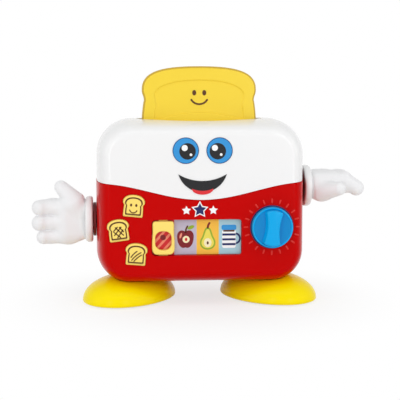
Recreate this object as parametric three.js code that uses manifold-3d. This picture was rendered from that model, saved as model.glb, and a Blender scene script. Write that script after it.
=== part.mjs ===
import * as THREE from 'three';
import { mergeVertices } from 'three/addons/utils/BufferGeometryUtils.js';
import Module from 'manifold-3d';

const wasm = await Module();
wasm.setup();

// A toy toaster that stands on two feet, with a slice of toast in its slot,
// two hands that turn, and a play panel with buttons, a slider and a knob.
// Lengths are in millimetres. X runs across the front, Y from front to back, Z up.
// Every piece is made with the casing's middle plane at y = 0 and the table at z = 0.

// Casing
const caseWidth = 191;
const caseHeight = 146.4;
const caseFloorZ = 21.6;
const caseHalfDepth = 44;
const caseCornerRadius = 30.5;
const caseEdgeRound = 14;
const caseEdgePower = 2.4;
const caseWall = 2.4;
const redStepIn = 0.7;
const seamSideZ = 114.1;
const seamDip = 16.7;

// Clearances
const touchGap = 0.3;
const slideGap = 0.4;
const cutOverrun = 1;

// Toast
const toastWidth = 105.5;
const toastHeight = 107.2;
const toastThickness = 12;
const toastTopZ = 215.5;
const toastPanelWidth = 82.4;
const toastPanelHeight = 34.2;
const toastPanelDrop = 12.5;
const toastPanelRise = 4.5;
const toastPanelDepth = 1;
const toastPanelShares = { waist: 0.12, notch: 0.36, lobe: 0.62 };
const toastPegX = 30;
const toastPegRadius = 2;
const toastPegHeight = 8;

// Lever and carriage
const leverTravel = 32;
const leverShaftZ = 104.9;
const armShaftRadius = 4;
const carriageFloor = 2.6;
const carriageArmHeight = 8.1;
const carriageArmHalfDepth = 5;
const leverBlockStandOff = 10;
const leverBlockHalfDepth = 6;
const leverBlockHeight = 12;
const shutterThickness = 1.4;
const shutterHalfDepth = 7;
const shutterMargin = 2;

// Toast well, the guide rods and their springs
const wellWall = 1.8;
const wellSideClearance = 1.25;
const wellFaceClearance = 1;
const wellLowerDrop = 20.9;
const wellNeckDrop = 6.5;
const slotSideMargin = 4.25;
const slotEndHalf = 9.2;
const slotMiddleHalf = 24;
const rodRadius = 2;
const rodStandOff = 10;
const earHalfDepth = 5;
const earReach = 5;
const earHeight = 6;
const legHalfDepth = 4;
const upperEarHeight = 4;
const upperEarClearance = 5;
const springCoilRadius = 3.7;
const springWireRadius = 0.5;
const springTurns = 6;

// Arms, cuffs and hands
const leftArmZ = 75.4;
const shoulderRadius = 15.5;
const shoulderFaceX = 97.7;
const cuffLength = 7.9;
const cuffRadius = 21.35;
const cuffFlatShare = 0.9;
const handLength = 49.2;
const armShaftDepth = 16;
const barbRadius = 5;
const barbLength = 2;
const armFlangeRadius = 7;
const armFlangeLength = 1.8;

// Feet
const footHalfLength = 52;
const footHalfWidth = 38.5;
const footSplay = 35;
const footCentreX = 64.8;
const footCentreY = -1;
const footHeight = 25;
const footDomeShare = 0.9;
const footRimHeight = 2.2;
const footRimTuck = 1.6;
const footWall = 3;
const footSole = 2.4;
const footScrewHoleRadius = 4.2;
const footScrewX = 62;
const footScrewY = 16;
const footPostRadius = 4.6;
const footPostZ = 6;
const footPinRadius = 2.4;
const footBossTopZ = 37;

// Screws
const screwRadius = 1.6;
const screwHoleRadius = 1.9;
const screwHeadRadius = 3.2;
const screwHeadHeight = 2;
const screwBossRadius = 4.8;
const caseScrewHeadY = 14;
const caseScrewLength = 26;
// Shares of the casing's half width and of its height
const caseScrewShares = [
  [-0.817, 0.146], [0.817, 0.146], [0, 0.061], [-0.895, 0.522], [-0.796, 0.781], [0.796, 0.781],
];
const redScrewCount = 4;

// Play panel: window, pictures and the bread slider
const windowCentreX = -5.05;
const windowCentreZ = 63.55;
const windowWidth = 81;
const windowHeight = 32.4;
const windowCorner = 3.6;
const pictureThickness = 0.4;
const sliderWidth = 20.2;
const sliderHeight = 29.9;
const sliderProud = 1.9;
const sliderHoleWidth = 14.7;
const sliderHoleHeight = 17.1;
const sliderHoleDrop = 2.4;
const sliderHoleCornerShare = 0.42;
const sliderTabHalf = 4;
const sliderTabHeight = 3.3;
const sliderTabLap = 1.5;
const sliderTabThickness = 0.8;
const sliderLegHeight = 1.2;
const trayMargin = 3.7;
const traySideMargin = 2.1;
const trayPocketDepth = 2.1;
const trayFloorThickness = 1.5;
const bridgeHalfWidth = 5;
const bridgeThickness = 1.2;
const bridgeBumpHeight = 0.9;
const sliderBoardGap = 3.2;
const boardThickness = 1.6;
const trayPostRadius = 2;

// Buttons: three slices of bread of one size, each with its own place and tilt
const buttonWidth = 20.3;
const buttonHeight = 20.6;
const buttonProud = 2.3;
const buttonTravel = 2.2;
const buttonFlange = 0.9;
const buttonFlangeThickness = 1.4;
const buttonStemRadius = 3;
const buttonStemLength = 3.2;
const smileButtonX = -61.7;
const smileButtonZ = 92.4;
const smileButtonTilt = -5.7;
const latticeButtonX = -76.1;
const latticeButtonZ = 70.3;
const latticeButtonTilt = 7;
const stripeButtonX = -59.7;
const stripeButtonZ = 49.1;
const stripeButtonTilt = -5;
const buttons = [
  { name: 'smile_button', x: smileButtonX, z: smileButtonZ, tilt: smileButtonTilt },
  { name: 'lattice_button', x: latticeButtonX, z: latticeButtonZ, tilt: latticeButtonTilt },
  { name: 'stripe_button', x: stripeButtonX, z: stripeButtonZ, tilt: stripeButtonTilt },
];
const membraneThickness = 1;
const domeRadius = 3.6;
const domeHeight = 1.2;
const buttonBoardLeft = -80;
const buttonBoardRight = -48.8;
const buttonBoardBottom = 40;
const buttonBoardTop = 101;
const buttonPostRadius = 2.2;
const buttonPostInset = 1;
const buttonPostReachShare = 1.35;

// Knob
const knobX = 62.4;
const knobZ = 72.4;
const knobRadius = 18.7;
const knobDiscHeight = 6.2;
const knobDishDepth = 0.8;
const knobRimWidth = 1.8;
const knobGripHeight = 7.2;
const knobGripLength = 32;
const knobGripEndHalf = 7.6;
const knobGripWaistHalf = 6.2;
const knobGripCornerShare = 0.86;
const knobGripCrownShare = 1.14;
const knobTilt = -5;
const hubRadius = 6;
const hubBearingWall = 2.1;
const hubBearingLength = 2.3;
const detentRadius = 12;
const detentNotchDepth = 1.1;
const detentCount = 12;
const detentThickness = 2.6;
const leafThickness = 0.6;
const leafLength = 22;
const leafPostRadius = 1.6;

// Printed and stuck-on faces
const labelThickness = 0.4;
const eyeRadius = 11.7;
const eyeX = 15;
const eyeZ = 141.4;
const smileHalfWidth = 21.5;
const smileCornerZ = 120.4;
const smileDepth = 16.1;
const smileDip = 6;
const badgeX = -2.4;
const badgeZ = 88.6;
const badgeRadius = 8;
const badgeInnerShare = 0.52;
const badgePoints = 5;

// Battery box, its cells, contacts and door
const cellRadius = 7.1;
const cellLength = 49;
const cellNubRadius = 2.7;
const cellNubHeight = 1.3;
const cellPitch = 15.2;
const cellCount = 3;
const cellDepth = 8.1;
const batteryCentreZ = 61.9;
const batteryWall = 1.6;
const batteryEndSpace = 2.5;
const contactPlate = 0.6;
const contactBumpRadius = 3.6;
const doorBossX = 34;
const doorBossRadius = 4;
const doorMargin = 2.2;
const doorCorner = 3;
const doorScrewLength = 9;

// Speaker
const speakerRadius = 22;
const speakerCentreZ = 125;
const speakerFlange = 1.6;
const speakerDepth = 16;
const speakerMagnetRadius = 13;
const speakerMagnetDepth = 6;
const speakerBasketShare = 0.92;
const speakerSurroundShare = 0.9;
const speakerConeShare = 0.4;
const speakerDustCapShare = 0.3;
const speakerSeatWall = 1.6;
const speakerSeatDepth = 5;
const grilleSlots = 7;
const grillePitch = 5;
const grilleSlotHalf = 1.2;
const grilleRadius = 17;

// Main board and the power switch
const mainBoardLeft = 41;
const mainBoardRight = 83;
const mainBoardBottom = 51;
const mainBoardTop = 98;
const mainBoardDepth = 10.9;
const boardPostRadius = 2.4;
const boardPostInset = 4;
const switchX = 58;
const switchZ = 84;
const switchHalfWidth = 6.5;
const switchHalfHeight = 4;
const switchDepth = 7;
const switchStemHalf = 1.8;
const switchTravel = 4;
const switchFlangeHalf = 6.4;
const switchFlangeThickness = 1.1;
const switchProud = 1;
const chipSize = 12;
const chipHeight = 2;
const capacitorRadius = 4;
const capacitorHeight = 9;

// Wires
const wireRadius = 1;
const wireLoop = 5;

// Sides of the round forms
const fineSides = 32;
const roundSides = 20;
const smallSides = 10;
const palmSides = 16;
const fingerSides = 8;
const cellSides = 16;
const contactSides = 8;
const footInnerSides = 16;
const wireSides = 6;
const cornerSteps = 6;
const edgeSteps = 5;
const innerCornerSteps = 4;
const innerEdgeSteps = 3;

// Places worked out from the sizes above
const radians = Math.PI / 180;
const halfCase = caseWidth / 2;
const caseMiddleZ = caseFloorZ + caseHeight / 2;
const caseTopZ = caseFloorZ + caseHeight;
const redFrontY = -(caseHalfDepth - redStepIn);
const redRearY = -redFrontY;
const whiteFrontY = -caseHalfDepth;
const redInset = redStepIn + caseWall;
const redInnerY = caseHalfDepth - redInset;
const whiteInnerY = caseHalfDepth - caseWall;
const sideWallInnerX = halfCase - redInset;
const toastBaseZ = toastTopZ - toastHeight;
const trayTopZ = toastBaseZ - touchGap;
const armTopZ = trayTopZ;
const armBottomZ = armTopZ - carriageArmHeight;
const wellHalfLength = toastWidth / 2 + wellSideClearance;
const wellHalfDepth = toastThickness / 2 + wellFaceClearance;
const wellBottomZ = armBottomZ - leverTravel - wellLowerDrop;
const slotHalfLength = toastWidth / 2 + slotSideMargin;
const rodX = wellHalfLength + rodStandOff;
const leverBlockX = rodX + leverBlockStandOff;
const shutterFaceX = sideWallInnerX - touchGap - redStepIn;
// With the lever down, the shutter still ends above the casing's round lower corner.
const shutterBottomZ = caseFloorZ + caseCornerRadius + leverTravel + touchGap;
const cuffStartX = shoulderFaceX + touchGap;
const handStartX = cuffStartX + cuffLength + touchGap;
const armShaftEndX = handStartX + armShaftDepth;
const trayFrontY = -(redInnerY - touchGap);
const trayFloorY = trayFrontY + trayPocketDepth;
const trayBackY = trayFloorY + trayFloorThickness;
const sliderTravel = windowWidth - sliderWidth - 2 * slideGap;
const sliderX = windowCentreX - windowWidth / 2 + slideGap + sliderWidth / 2;
const sliderBackY = trayFrontY + touchGap / 2 + sliderTabThickness;
const trayHalfHeight = windowHeight / 2 + trayMargin;
const bridgeBackY = trayBackY + slideGap + bridgeThickness;
const sliderBoardY = trayBackY + sliderBoardGap + bridgeThickness;
const buttonBackY = -(redInnerY - touchGap);
const buttonStemEndY = buttonBackY + buttonFlangeThickness + buttonStemLength;
const domeTopY = buttonStemEndY + buttonTravel + slideGap;
const membraneY = domeTopY + domeHeight;
const buttonBoardY = membraneY + membraneThickness;
const knobBaseY = redFrontY - touchGap;
const hubEndY = -(redInnerY - hubBearingLength - slideGap);
const detentY = hubEndY + touchGap;
const mainBoardY = redInnerY - mainBoardDepth;
const cellDepthY = redInnerY - cellDepth;
const boxHalfLength = cellLength / 2 + cellNubHeight + batteryEndSpace;
const boxHalfHeight = cellPitch * (cellCount - 1) / 2 + cellRadius + slideGap;
const boxFrontY = cellDepthY - cellRadius - slideGap;
const boxRimY = redInnerY - touchGap;
const doorLeft = -(boxHalfLength + batteryWall + doorMargin / 2);
const doorRight = doorBossX + doorBossRadius + doorMargin / 2;
const doorHalfHeight = boxHalfHeight + batteryWall;
const switchFlangeY = redInnerY - touchGap - switchFlangeThickness;

// Solids from geometries

function signedVolume(positions, indices) {
  const a = new THREE.Vector3();
  const b = new THREE.Vector3();
  const c = new THREE.Vector3();
  let total = 0;
  for (let i = 0; i < indices.length; i += 3) {
    a.fromArray(positions, indices[i] * 3);
    b.fromArray(positions, indices[i + 1] * 3);
    c.fromArray(positions, indices[i + 2] * 3);
    total += a.dot(b.cross(c)) / 6;
  }
  return total;
}

// Weld a closed geometry, drop its collapsed triangles and turn its faces outward.
function solidOf(geometry) {
  const bare = new THREE.BufferGeometry();
  bare.setAttribute('position', geometry.getAttribute('position').clone());
  if (geometry.index) bare.setIndex(geometry.index.clone());
  const welded = mergeVertices(bare);
  const positions = welded.getAttribute('position').array;
  const faces = [];
  const source = welded.index.array;
  for (let i = 0; i < source.length; i += 3) {
    const [p, q, r] = [source[i], source[i + 1], source[i + 2]];
    if (p !== q && q !== r && r !== p) faces.push(p, q, r);
  }
  if (signedVolume(positions, faces) < 0) {
    for (let i = 0; i < faces.length; i += 3) [faces[i], faces[i + 1]] = [faces[i + 1], faces[i]];
  }
  return new wasm.Manifold(new wasm.Mesh({
    numProp: 3,
    vertProperties: new Float32Array(positions),
    triVerts: new Uint32Array(faces),
  }));
}

function geometryOf(solid) {
  const mesh = solid.getMesh();
  const geometry = new THREE.BufferGeometry();
  geometry.setAttribute('position', new THREE.BufferAttribute(mesh.vertProperties, 3));
  geometry.setIndex(new THREE.BufferAttribute(mesh.triVerts, 1));
  geometry.computeVertexNormals();
  return geometry;
}

function moved(solid, matrix) {
  return solidOf(geometryOf(solid).applyMatrix4(matrix));
}

function joined(solids) {
  return solids.reduce((whole, solid) => whole.add(solid));
}

function block(x0, x1, y0, y1, z0, z1) {
  const box = new THREE.BoxGeometry(x1 - x0, y1 - y0, z1 - z0);
  box.translate((x0 + x1) / 2, (y0 + y1) / 2, (z0 + z1) / 2);
  return solidOf(box);
}

function rodAlongX(radius, x0, x1, y, z, sides) {
  const rod = new THREE.CylinderGeometry(radius, radius, x1 - x0, sides);
  rod.rotateZ(-Math.PI / 2);
  rod.translate((x0 + x1) / 2, y, z);
  return solidOf(rod);
}

function rodAlongY(radius, y0, y1, x, z, sides) {
  const rod = new THREE.CylinderGeometry(radius, radius, y1 - y0, sides);
  rod.translate(x, (y0 + y1) / 2, z);
  return solidOf(rod);
}

function rodAlongZ(radius, z0, z1, x, y, sides) {
  const rod = new THREE.CylinderGeometry(radius, radius, z1 - z0, sides);
  rod.rotateX(Math.PI / 2);
  rod.translate(x, y, (z0 + z1) / 2);
  return solidOf(rod);
}

// A plate whose outline is drawn in X and Z, from y0 to y1.
function plateAcrossY(shape, y0, y1, curveSegments) {
  const plate = new THREE.ExtrudeGeometry(shape, { depth: y1 - y0, bevelEnabled: false, curveSegments });
  plate.rotateX(Math.PI / 2);
  plate.translate(0, y1, 0);
  return solidOf(plate);
}

// A turned form about the Y axis line through x and z; each point is [radius, y].
function turnedAboutY(profile, x, z, sides) {
  const points = profile.map(([radius, y]) => new THREE.Vector2(radius, y));
  const form = new THREE.LatheGeometry(points, sides);
  form.translate(x, 0, z);
  return solidOf(form);
}

// A turned form about the X axis; each point is [radius, x].
function turnedAboutX(profile, sides) {
  const points = profile.map(([radius, x]) => new THREE.Vector2(radius, x));
  const form = new THREE.LatheGeometry(points, sides);
  form.rotateZ(-Math.PI / 2);
  return solidOf(form);
}

// A closed form through rings of equal point counts, with flat ends.
function ringLoft(rings) {
  const count = rings[0].length;
  const positions = [];
  const faces = [];
  for (const ring of rings) for (const point of ring) positions.push(...point);
  for (let level = 0; level + 1 < rings.length; level += 1) {
    for (let i = 0; i < count; i += 1) {
      const a = level * count + i;
      const b = level * count + (i + 1) % count;
      faces.push(a, b, b + count, a, b + count, a + count);
    }
  }
  for (const [level, turn] of [[0, 1], [rings.length - 1, 0]]) {
    const middle = [0, 0, 0];
    for (const point of rings[level]) for (const axis of [0, 1, 2]) middle[axis] += point[axis] / count;
    const centre = positions.length / 3;
    positions.push(...middle);
    for (let i = 0; i < count; i += 1) {
      const a = level * count + i;
      const b = level * count + (i + 1) % count;
      faces.push(centre, turn ? b : a, turn ? a : b);
    }
  }
  const geometry = new THREE.BufferGeometry();
  geometry.setAttribute('position', new THREE.Float32BufferAttribute(positions, 3));
  geometry.setIndex(faces);
  return solidOf(geometry);
}

// Outlines in X and Z

function roundedRectangle(centreX, centreZ, width, height, radius) {
  const shape = new THREE.Shape();
  const [left, right] = [centreX - width / 2, centreX + width / 2];
  const [bottom, top] = [centreZ - height / 2, centreZ + height / 2];
  shape.moveTo(left + radius, bottom);
  shape.lineTo(right - radius, bottom);
  shape.absarc(right - radius, bottom + radius, radius, -Math.PI / 2, 0, false);
  shape.lineTo(right, top - radius);
  shape.absarc(right - radius, top - radius, radius, 0, Math.PI / 2, false);
  shape.lineTo(left + radius, top);
  shape.absarc(left + radius, top - radius, radius, Math.PI / 2, Math.PI, false);
  shape.lineTo(left, bottom + radius);
  shape.absarc(left + radius, bottom + radius, radius, Math.PI, 3 * Math.PI / 2, false);
  return shape;
}

// The outline of a slice of bread: heights as shares of its height, and reaches as
// shares of its half width. Its lower corners are a share of its whole width.
const breadShares = { waist: 0.56, notch: 0.713, lobe: 0.8 };
const breadReachShares = { waist: 0.995, bend: 0.975, notch: 0.955, inner: 0.965, outer: 0.99, lobe: 0.993 };
const breadCrownShares = { reach: 0.6, swell: 0.997, rise: 0.1 };
const breadBendShare = 0.03;
const breadCornerShare = 0.07;

function breadShape(width, height, centreX, baseZ, baseRise = 0, shares = breadShares) {
  const half = width / 2;
  const corner = baseRise ? 0 : width * breadCornerShare;
  const at = (x, z) => [centreX + x * half, baseZ + z * height];
  const reach = breadReachShares;
  const top = breadCrownShares;
  const bend = shares.notch - breadBendShare;
  const shoulder = (shares.notch + shares.lobe) / 2;
  const crown = (1 + 2 * shares.lobe) / 3;
  const swell = crown + top.rise;
  const shape = new THREE.Shape();
  shape.moveTo(centreX - half + corner, baseZ);
  if (baseRise) {
    shape.quadraticCurveTo(centreX, baseZ + 2 * baseRise, centreX + half, baseZ);
  } else {
    shape.lineTo(centreX + half - corner, baseZ);
    shape.quadraticCurveTo(centreX + half, baseZ, centreX + half, baseZ + corner);
  }
  shape.lineTo(...at(reach.waist, shares.waist));
  shape.quadraticCurveTo(...at(reach.bend, bend), ...at(reach.notch, shares.notch));
  shape.bezierCurveTo(
    ...at(reach.inner, shoulder), ...at(reach.outer, shoulder), ...at(reach.lobe, shares.lobe));
  shape.bezierCurveTo(...at(top.swell, swell), ...at(top.reach, 1), ...at(0, 1));
  shape.bezierCurveTo(...at(-top.reach, 1), ...at(-top.swell, swell), ...at(-reach.lobe, shares.lobe));
  shape.bezierCurveTo(
    ...at(-reach.outer, shoulder), ...at(-reach.inner, shoulder), ...at(-reach.notch, shares.notch));
  shape.quadraticCurveTo(...at(-reach.bend, bend), ...at(-reach.waist, shares.waist));
  if (!baseRise) {
    shape.lineTo(centreX - half, baseZ + corner);
    shape.quadraticCurveTo(centreX - half, baseZ, centreX - half + corner, baseZ);
  }
  return shape;
}

// Turn a form about the Y axis line through x and z, by an angle seen from the front.
function tiltedAboutY(solid, x, z, degrees) {
  const matrix = new THREE.Matrix4().makeTranslation(x, 0, z);
  matrix.multiply(new THREE.Matrix4().makeRotationY(-degrees * radians));
  matrix.multiply(new THREE.Matrix4().makeTranslation(-x, 0, -z));
  return moved(solid, matrix);
}

// Casing

function casingRing(shrink, y, steps) {
  const radius = caseCornerRadius - shrink;
  const reachX = halfCase - caseCornerRadius;
  const reachZ = caseHeight / 2 - caseCornerRadius;
  const ring = [];
  for (const [quarter, sideX, sideZ] of [[0, 1, 1], [1, -1, 1], [2, -1, -1], [3, 1, -1]]) {
    for (let k = 0; k <= steps; k += 1) {
      const angle = (quarter + k / steps) * Math.PI / 2;
      const x = sideX * reachX + radius * Math.cos(angle);
      const z = caseMiddleZ + sideZ * reachZ + radius * Math.sin(angle);
      ring.push([x, y, z]);
    }
  }
  return ring;
}

// One half of the casing's rounded form; side is -1 for the front and 1 for the rear.
function casingHalf(inset, side, start, edges = edgeSteps, corners = cornerSteps) {
  const power = 2 / caseEdgePower;
  const rings = [casingRing(inset, side * start, corners)];
  for (let k = 1; k <= edges; k += 1) {
    const angle = k / edges * Math.PI / 2;
    const depth = (caseHalfDepth - inset) * Math.sin(angle) ** power;
    const turn = (caseEdgeRound - inset) * (1 - Math.max(Math.cos(angle), 0) ** power);
    rings.push(casingRing(inset + turn, side * depth, corners));
  }
  return ringLoft(rings);
}

// Both halves, as one solid form that trims or clears what lies against the casing.
function wholeCasing(inset) {
  return casingHalf(inset, -1, 0).add(casingHalf(inset, 1, 0));
}

// The room inside the red shells, which trims the pieces that stand on their floor.
function redRoom() {
  const inset = redInset + touchGap;
  const halves = [-1, 1].map((side) => casingHalf(inset, side, 0, innerEdgeSteps, innerCornerSteps));
  return joined(halves);
}

function seamHeight(x) {
  const share = Math.min(Math.abs(x) / halfCase, 1);
  return seamSideZ - seamDip * (1 + Math.cos(Math.PI * share)) / 2;
}

// Everything above or below the wavy seam between the white and the red shells.
function seamSide(above) {
  const reach = halfCase + cutOverrun;
  const steps = 26;
  const shift = above ? touchGap / 2 : -touchGap / 2;
  const far = above ? caseTopZ + cutOverrun : caseFloorZ - cutOverrun;
  const shape = new THREE.Shape();
  shape.moveTo(-reach, far);
  for (let k = 0; k <= steps; k += 1) {
    const x = reach * (2 * k / steps - 1);
    shape.lineTo(x, seamHeight(x) + shift);
  }
  shape.lineTo(reach, far);
  const depth = caseHalfDepth + cutOverrun;
  return plateAcrossY(shape, -depth, depth, 1);
}

const caseScrews = caseScrewShares.map(([x, z], index) => ({
  x: x * halfCase,
  z: caseFloorZ + z * caseHeight,
  white: index >= redScrewCount,
}));

// The tubes that the casing's screws run through, for one side of the casing.
function screwBosses(side, white) {
  const places = caseScrews.filter((place) => place.white === white);
  const [near, far] = [touchGap / 2, caseHalfDepth];
  const ends = side < 0 ? [-far, -near] : [near, far];
  return places.map(({ x, z }) => rodAlongY(screwBossRadius, ...ends, x, z, smallSides));
}

function screwBores(side, white) {
  const places = caseScrews.filter((place) => place.white === white);
  const cuts = [];
  for (const { x, z } of places) {
    if (side < 0) {
      const end = caseScrewHeadY - caseScrewLength - slideGap;
      cuts.push(rodAlongY(screwHoleRadius, end, cutOverrun, x, z, smallSides));
    } else {
      const outside = caseHalfDepth + cutOverrun;
      const headRadius = screwHeadRadius + slideGap;
      cuts.push(rodAlongY(screwHoleRadius, -cutOverrun, outside, x, z, smallSides));
      cuts.push(rodAlongY(headRadius, caseScrewHeadY - touchGap, outside, x, z, smallSides));
    }
  }
  return cuts;
}

// The bulged outline of the toast slot, seen from above, as points with x and y.
function slotRing(halfLength, endHalf, middleHalf, z) {
  const steps = 12;
  const ring = [];
  for (const side of [-1, 1]) {
    for (let k = 0; k <= steps; k += 1) {
      const share = side * (2 * k / steps - 1);
      const bulge = (middleHalf - endHalf) * (1 - share * share);
      ring.push([-share * halfLength, side * (endHalf + bulge), z]);
    }
  }
  return ring;
}

function slotCut() {
  const bottom = slotRing(slotHalfLength, slotEndHalf, slotMiddleHalf, caseTopZ - caseEdgeRound);
  const top = slotRing(slotHalfLength, slotEndHalf, slotMiddleHalf, caseTopZ + cutOverrun);
  return ringLoft([bottom, top]);
}

// The slot in the right side for the lever's shaft, and the hole in the left side.
function sideOpenings() {
  const radius = armShaftRadius + slideGap;
  const [inside, outside] = [halfCase - screwBossRadius - caseWall, halfCase + cutOverrun];
  const low = leverShaftZ - leverTravel;
  return [
    rodAlongX(radius, -outside, -inside, 0, leftArmZ, smallSides),
    rodAlongX(radius, inside, outside, 0, leverShaftZ, smallSides),
    rodAlongX(radius, inside, outside, 0, low, smallSides),
    block(inside, outside, -radius, radius, low, leverShaftZ),
  ];
}

function footBoss(side, x) {
  return rodAlongZ(footPostRadius, caseFloorZ, footBossTopZ, x, side * footScrewY, smallSides);
}

function footBore(side, x) {
  const radius = side < 0 ? screwHoleRadius : footPinRadius + slideGap;
  return rodAlongZ(radius, 0, footBossTopZ - caseWall, x, side * footScrewY, smallSides);
}

function casingShell({ side, white, features, cuts }) {
  const inset = white ? 0 : redStepIn;
  const outer = casingHalf(inset, side, touchGap / 2).intersect(seamSide(white));
  const cavity = casingHalf(inset + caseWall, side, -cutOverrun, innerEdgeSteps, innerCornerSteps);
  const hollow = cavity.subtract(joined([...screwBosses(side, white), ...features]));
  return outer.subtract(joined([hollow, ...screwBores(side, white), ...cuts]));
}

function frontUpperShell() {
  return casingShell({ side: -1, white: true, features: [], cuts: [slotCut(), ...sideOpenings()] });
}

// Posts for the button board, beside each button but clear of its flange.
function buttonPosts(grow, startY, endY) {
  const reach = buttonWidth / 2 + buttonFlange + buttonPostRadius + buttonPostInset;
  const places = [
    [latticeButtonX + buttonPostReachShare * reach, latticeButtonZ], [stripeButtonX - reach, stripeButtonZ],
  ];
  return places.map(([x, z]) => rodAlongY(buttonPostRadius + grow, startY, endY, x, z, smallSides));
}

function leafPosts() {
  const z = knobZ + detentRadius + slideGap + leafThickness / 2;
  const endY = detentY + detentThickness + boardThickness;
  const reach = leafLength / 2 - leafPostRadius;
  return [-reach, reach].map((x) => {
    const post = rodAlongY(leafPostRadius + leafThickness, -caseHalfDepth, endY, knobX + x, z, smallSides);
    const slit = leafThickness / 2 + touchGap;
    const wide = leafPostRadius * 2;
    const room = block(knobX + x - wide, knobX + x + wide, detentY, endY + cutOverrun, z - slit, z + slit);
    return post.subtract(room);
  });
}

// The hole that a button moves in, as deep as the button goes when it is pressed.
function buttonHole({ x, z, tilt }) {
  const grow = 2 * slideGap;
  const outline = breadShape(buttonWidth + grow, buttonHeight + grow, x, z - (buttonHeight + grow) / 2);
  const endY = buttonBackY + buttonFlangeThickness + buttonTravel + touchGap;
  return tiltedAboutY(plateAcrossY(outline, -caseHalfDepth - cutOverrun, endY, 3), x, z, tilt);
}

function frontLowerShell() {
  const bearingEnd = -(redInnerY - hubBearingLength);
  const holeRadius = hubRadius + slideGap;
  const outside = -caseHalfDepth - cutOverrun;
  const bearing = rodAlongY(
    holeRadius + hubBearingWall, -caseHalfDepth, bearingEnd, knobX, knobZ, roundSides);
  const hubHole = rodAlongY(holeRadius, outside, bearingEnd + cutOverrun, knobX, knobZ, roundSides);
  const opening = roundedRectangle(windowCentreX, windowCentreZ, windowWidth, windowHeight, windowCorner);
  const windowHole = plateAcrossY(opening, outside, -redInnerY + cutOverrun, 4);
  const posts = buttonPosts(0, -caseHalfDepth, buttonBoardY - touchGap);
  const feet = [-footScrewX, footScrewX];
  return casingShell({
    side: -1,
    white: false,
    features: [bearing, ...posts, ...leafPosts(), ...feet.map((x) => footBoss(-1, x))],
    cuts: [
      hubHole, windowHole, ...buttons.map(buttonHole), ...sideOpenings(),
      ...feet.map((x) => footBore(-1, x)),
    ],
  });
}

function grilleCuts() {
  const middle = (grilleSlots - 1) / 2;
  const cuts = [];
  for (let k = 0; k < grilleSlots; k += 1) {
    const x = (k - middle) * grillePitch;
    const half = Math.sqrt(grilleRadius ** 2 - x * x);
    const shape = roundedRectangle(x, speakerCentreZ, 2 * grilleSlotHalf, 2 * half, grilleSlotHalf);
    cuts.push(plateAcrossY(shape, whiteInnerY - cutOverrun, caseHalfDepth + cutOverrun, 2));
  }
  return cuts;
}

function rearUpperShell() {
  const inside = speakerRadius + slideGap;
  const seatY = whiteInnerY - speakerSeatDepth;
  const seat = rodAlongY(inside + speakerSeatWall, seatY, caseHalfDepth, 0, speakerCentreZ, roundSides);
  const seatBore = rodAlongY(inside, seatY - cutOverrun, whiteInnerY, 0, speakerCentreZ, roundSides);
  return casingShell({
    side: 1,
    white: true,
    features: [seat.subtract(seatBore)],
    cuts: [slotCut(), ...sideOpenings(), ...grilleCuts()],
  });
}

function mainBoardPosts() {
  const inset = boardPostInset;
  const places = [
    [mainBoardLeft + inset, mainBoardTop - inset],
    [mainBoardRight - inset, mainBoardTop - inset],
    [mainBoardLeft + inset, mainBoardBottom + inset],
    [mainBoardRight - inset, mainBoardBottom + inset],
  ];
  const start = mainBoardY + boardThickness + touchGap;
  return places.map(([x, z]) => rodAlongY(boardPostRadius, start, caseHalfDepth, x, z, smallSides));
}

function rearLowerShell() {
  const width = doorRight - doorLeft + 2 * slideGap;
  const height = 2 * (doorHalfHeight + slideGap);
  const doorOpening = roundedRectangle((doorLeft + doorRight) / 2, batteryCentreZ, width, height, doorCorner);
  const doorHole = plateAcrossY(doorOpening, redInnerY - cutOverrun, caseHalfDepth + cutOverrun, 4);
  const slotLeft = switchX - switchTravel / 2 - switchStemHalf - slideGap;
  const slotRight = switchX + switchTravel / 2 + switchStemHalf + slideGap;
  const [low, high] = [switchZ - switchStemHalf - slideGap, switchZ + switchStemHalf + slideGap];
  const switchSlot = block(
    slotLeft, slotRight, redInnerY - cutOverrun, caseHalfDepth + cutOverrun, low, high);
  const feet = [-footScrewX, footScrewX];
  return casingShell({
    side: 1,
    white: false,
    features: [...mainBoardPosts(), ...feet.map((x) => footBoss(1, x))],
    cuts: [doorHole, switchSlot, ...sideOpenings(), ...feet.map((x) => footBore(1, x))],
  });
}

function screwAlongY(x, z, headY, length) {
  const headEnd = headY + screwHeadHeight;
  const tip = headY - length;
  const profile = [
    [0, headEnd], [screwHeadRadius, headEnd], [screwHeadRadius, headY], [screwRadius, headY],
    [screwRadius, tip + screwRadius], [0, tip],
  ];
  return turnedAboutY(profile, x, z, smallSides);
}

// Room round the casing's screw bosses for a piece that lies between them, back as far as endY.
function bossClearances(endY) {
  const radius = screwBossRadius + slideGap;
  return caseScrews.map(({ x, z }) => rodAlongY(radius, -caseHalfDepth, endY, x, z, smallSides));
}

// Toast, its carriage, the well and the springs

function toastSlice() {
  const outline = breadShape(toastWidth, toastHeight, 0, toastBaseZ);
  const slice = plateAcrossY(outline, -toastThickness / 2, toastThickness / 2, 6);
  const panelBaseZ = toastTopZ - toastPanelDrop - toastPanelHeight;
  const panel = breadShape(
    toastPanelWidth, toastPanelHeight, 0, panelBaseZ, toastPanelRise, toastPanelShares);
  const half = toastThickness / 2;
  const pockets = [
    plateAcrossY(panel, -half - cutOverrun, -half + toastPanelDepth, 4),
    plateAcrossY(panel, half - toastPanelDepth, half + cutOverrun, 4),
  ];
  const holeRadius = toastPegRadius + touchGap;
  const holeTop = toastBaseZ + toastPegHeight + touchGap;
  const holes = [-toastPegX, toastPegX].map((x) => (
    rodAlongZ(holeRadius, toastBaseZ - cutOverrun, holeTop, x, 0, smallSides)));
  return slice.subtract(joined([...pockets, ...holes]));
}

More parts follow.
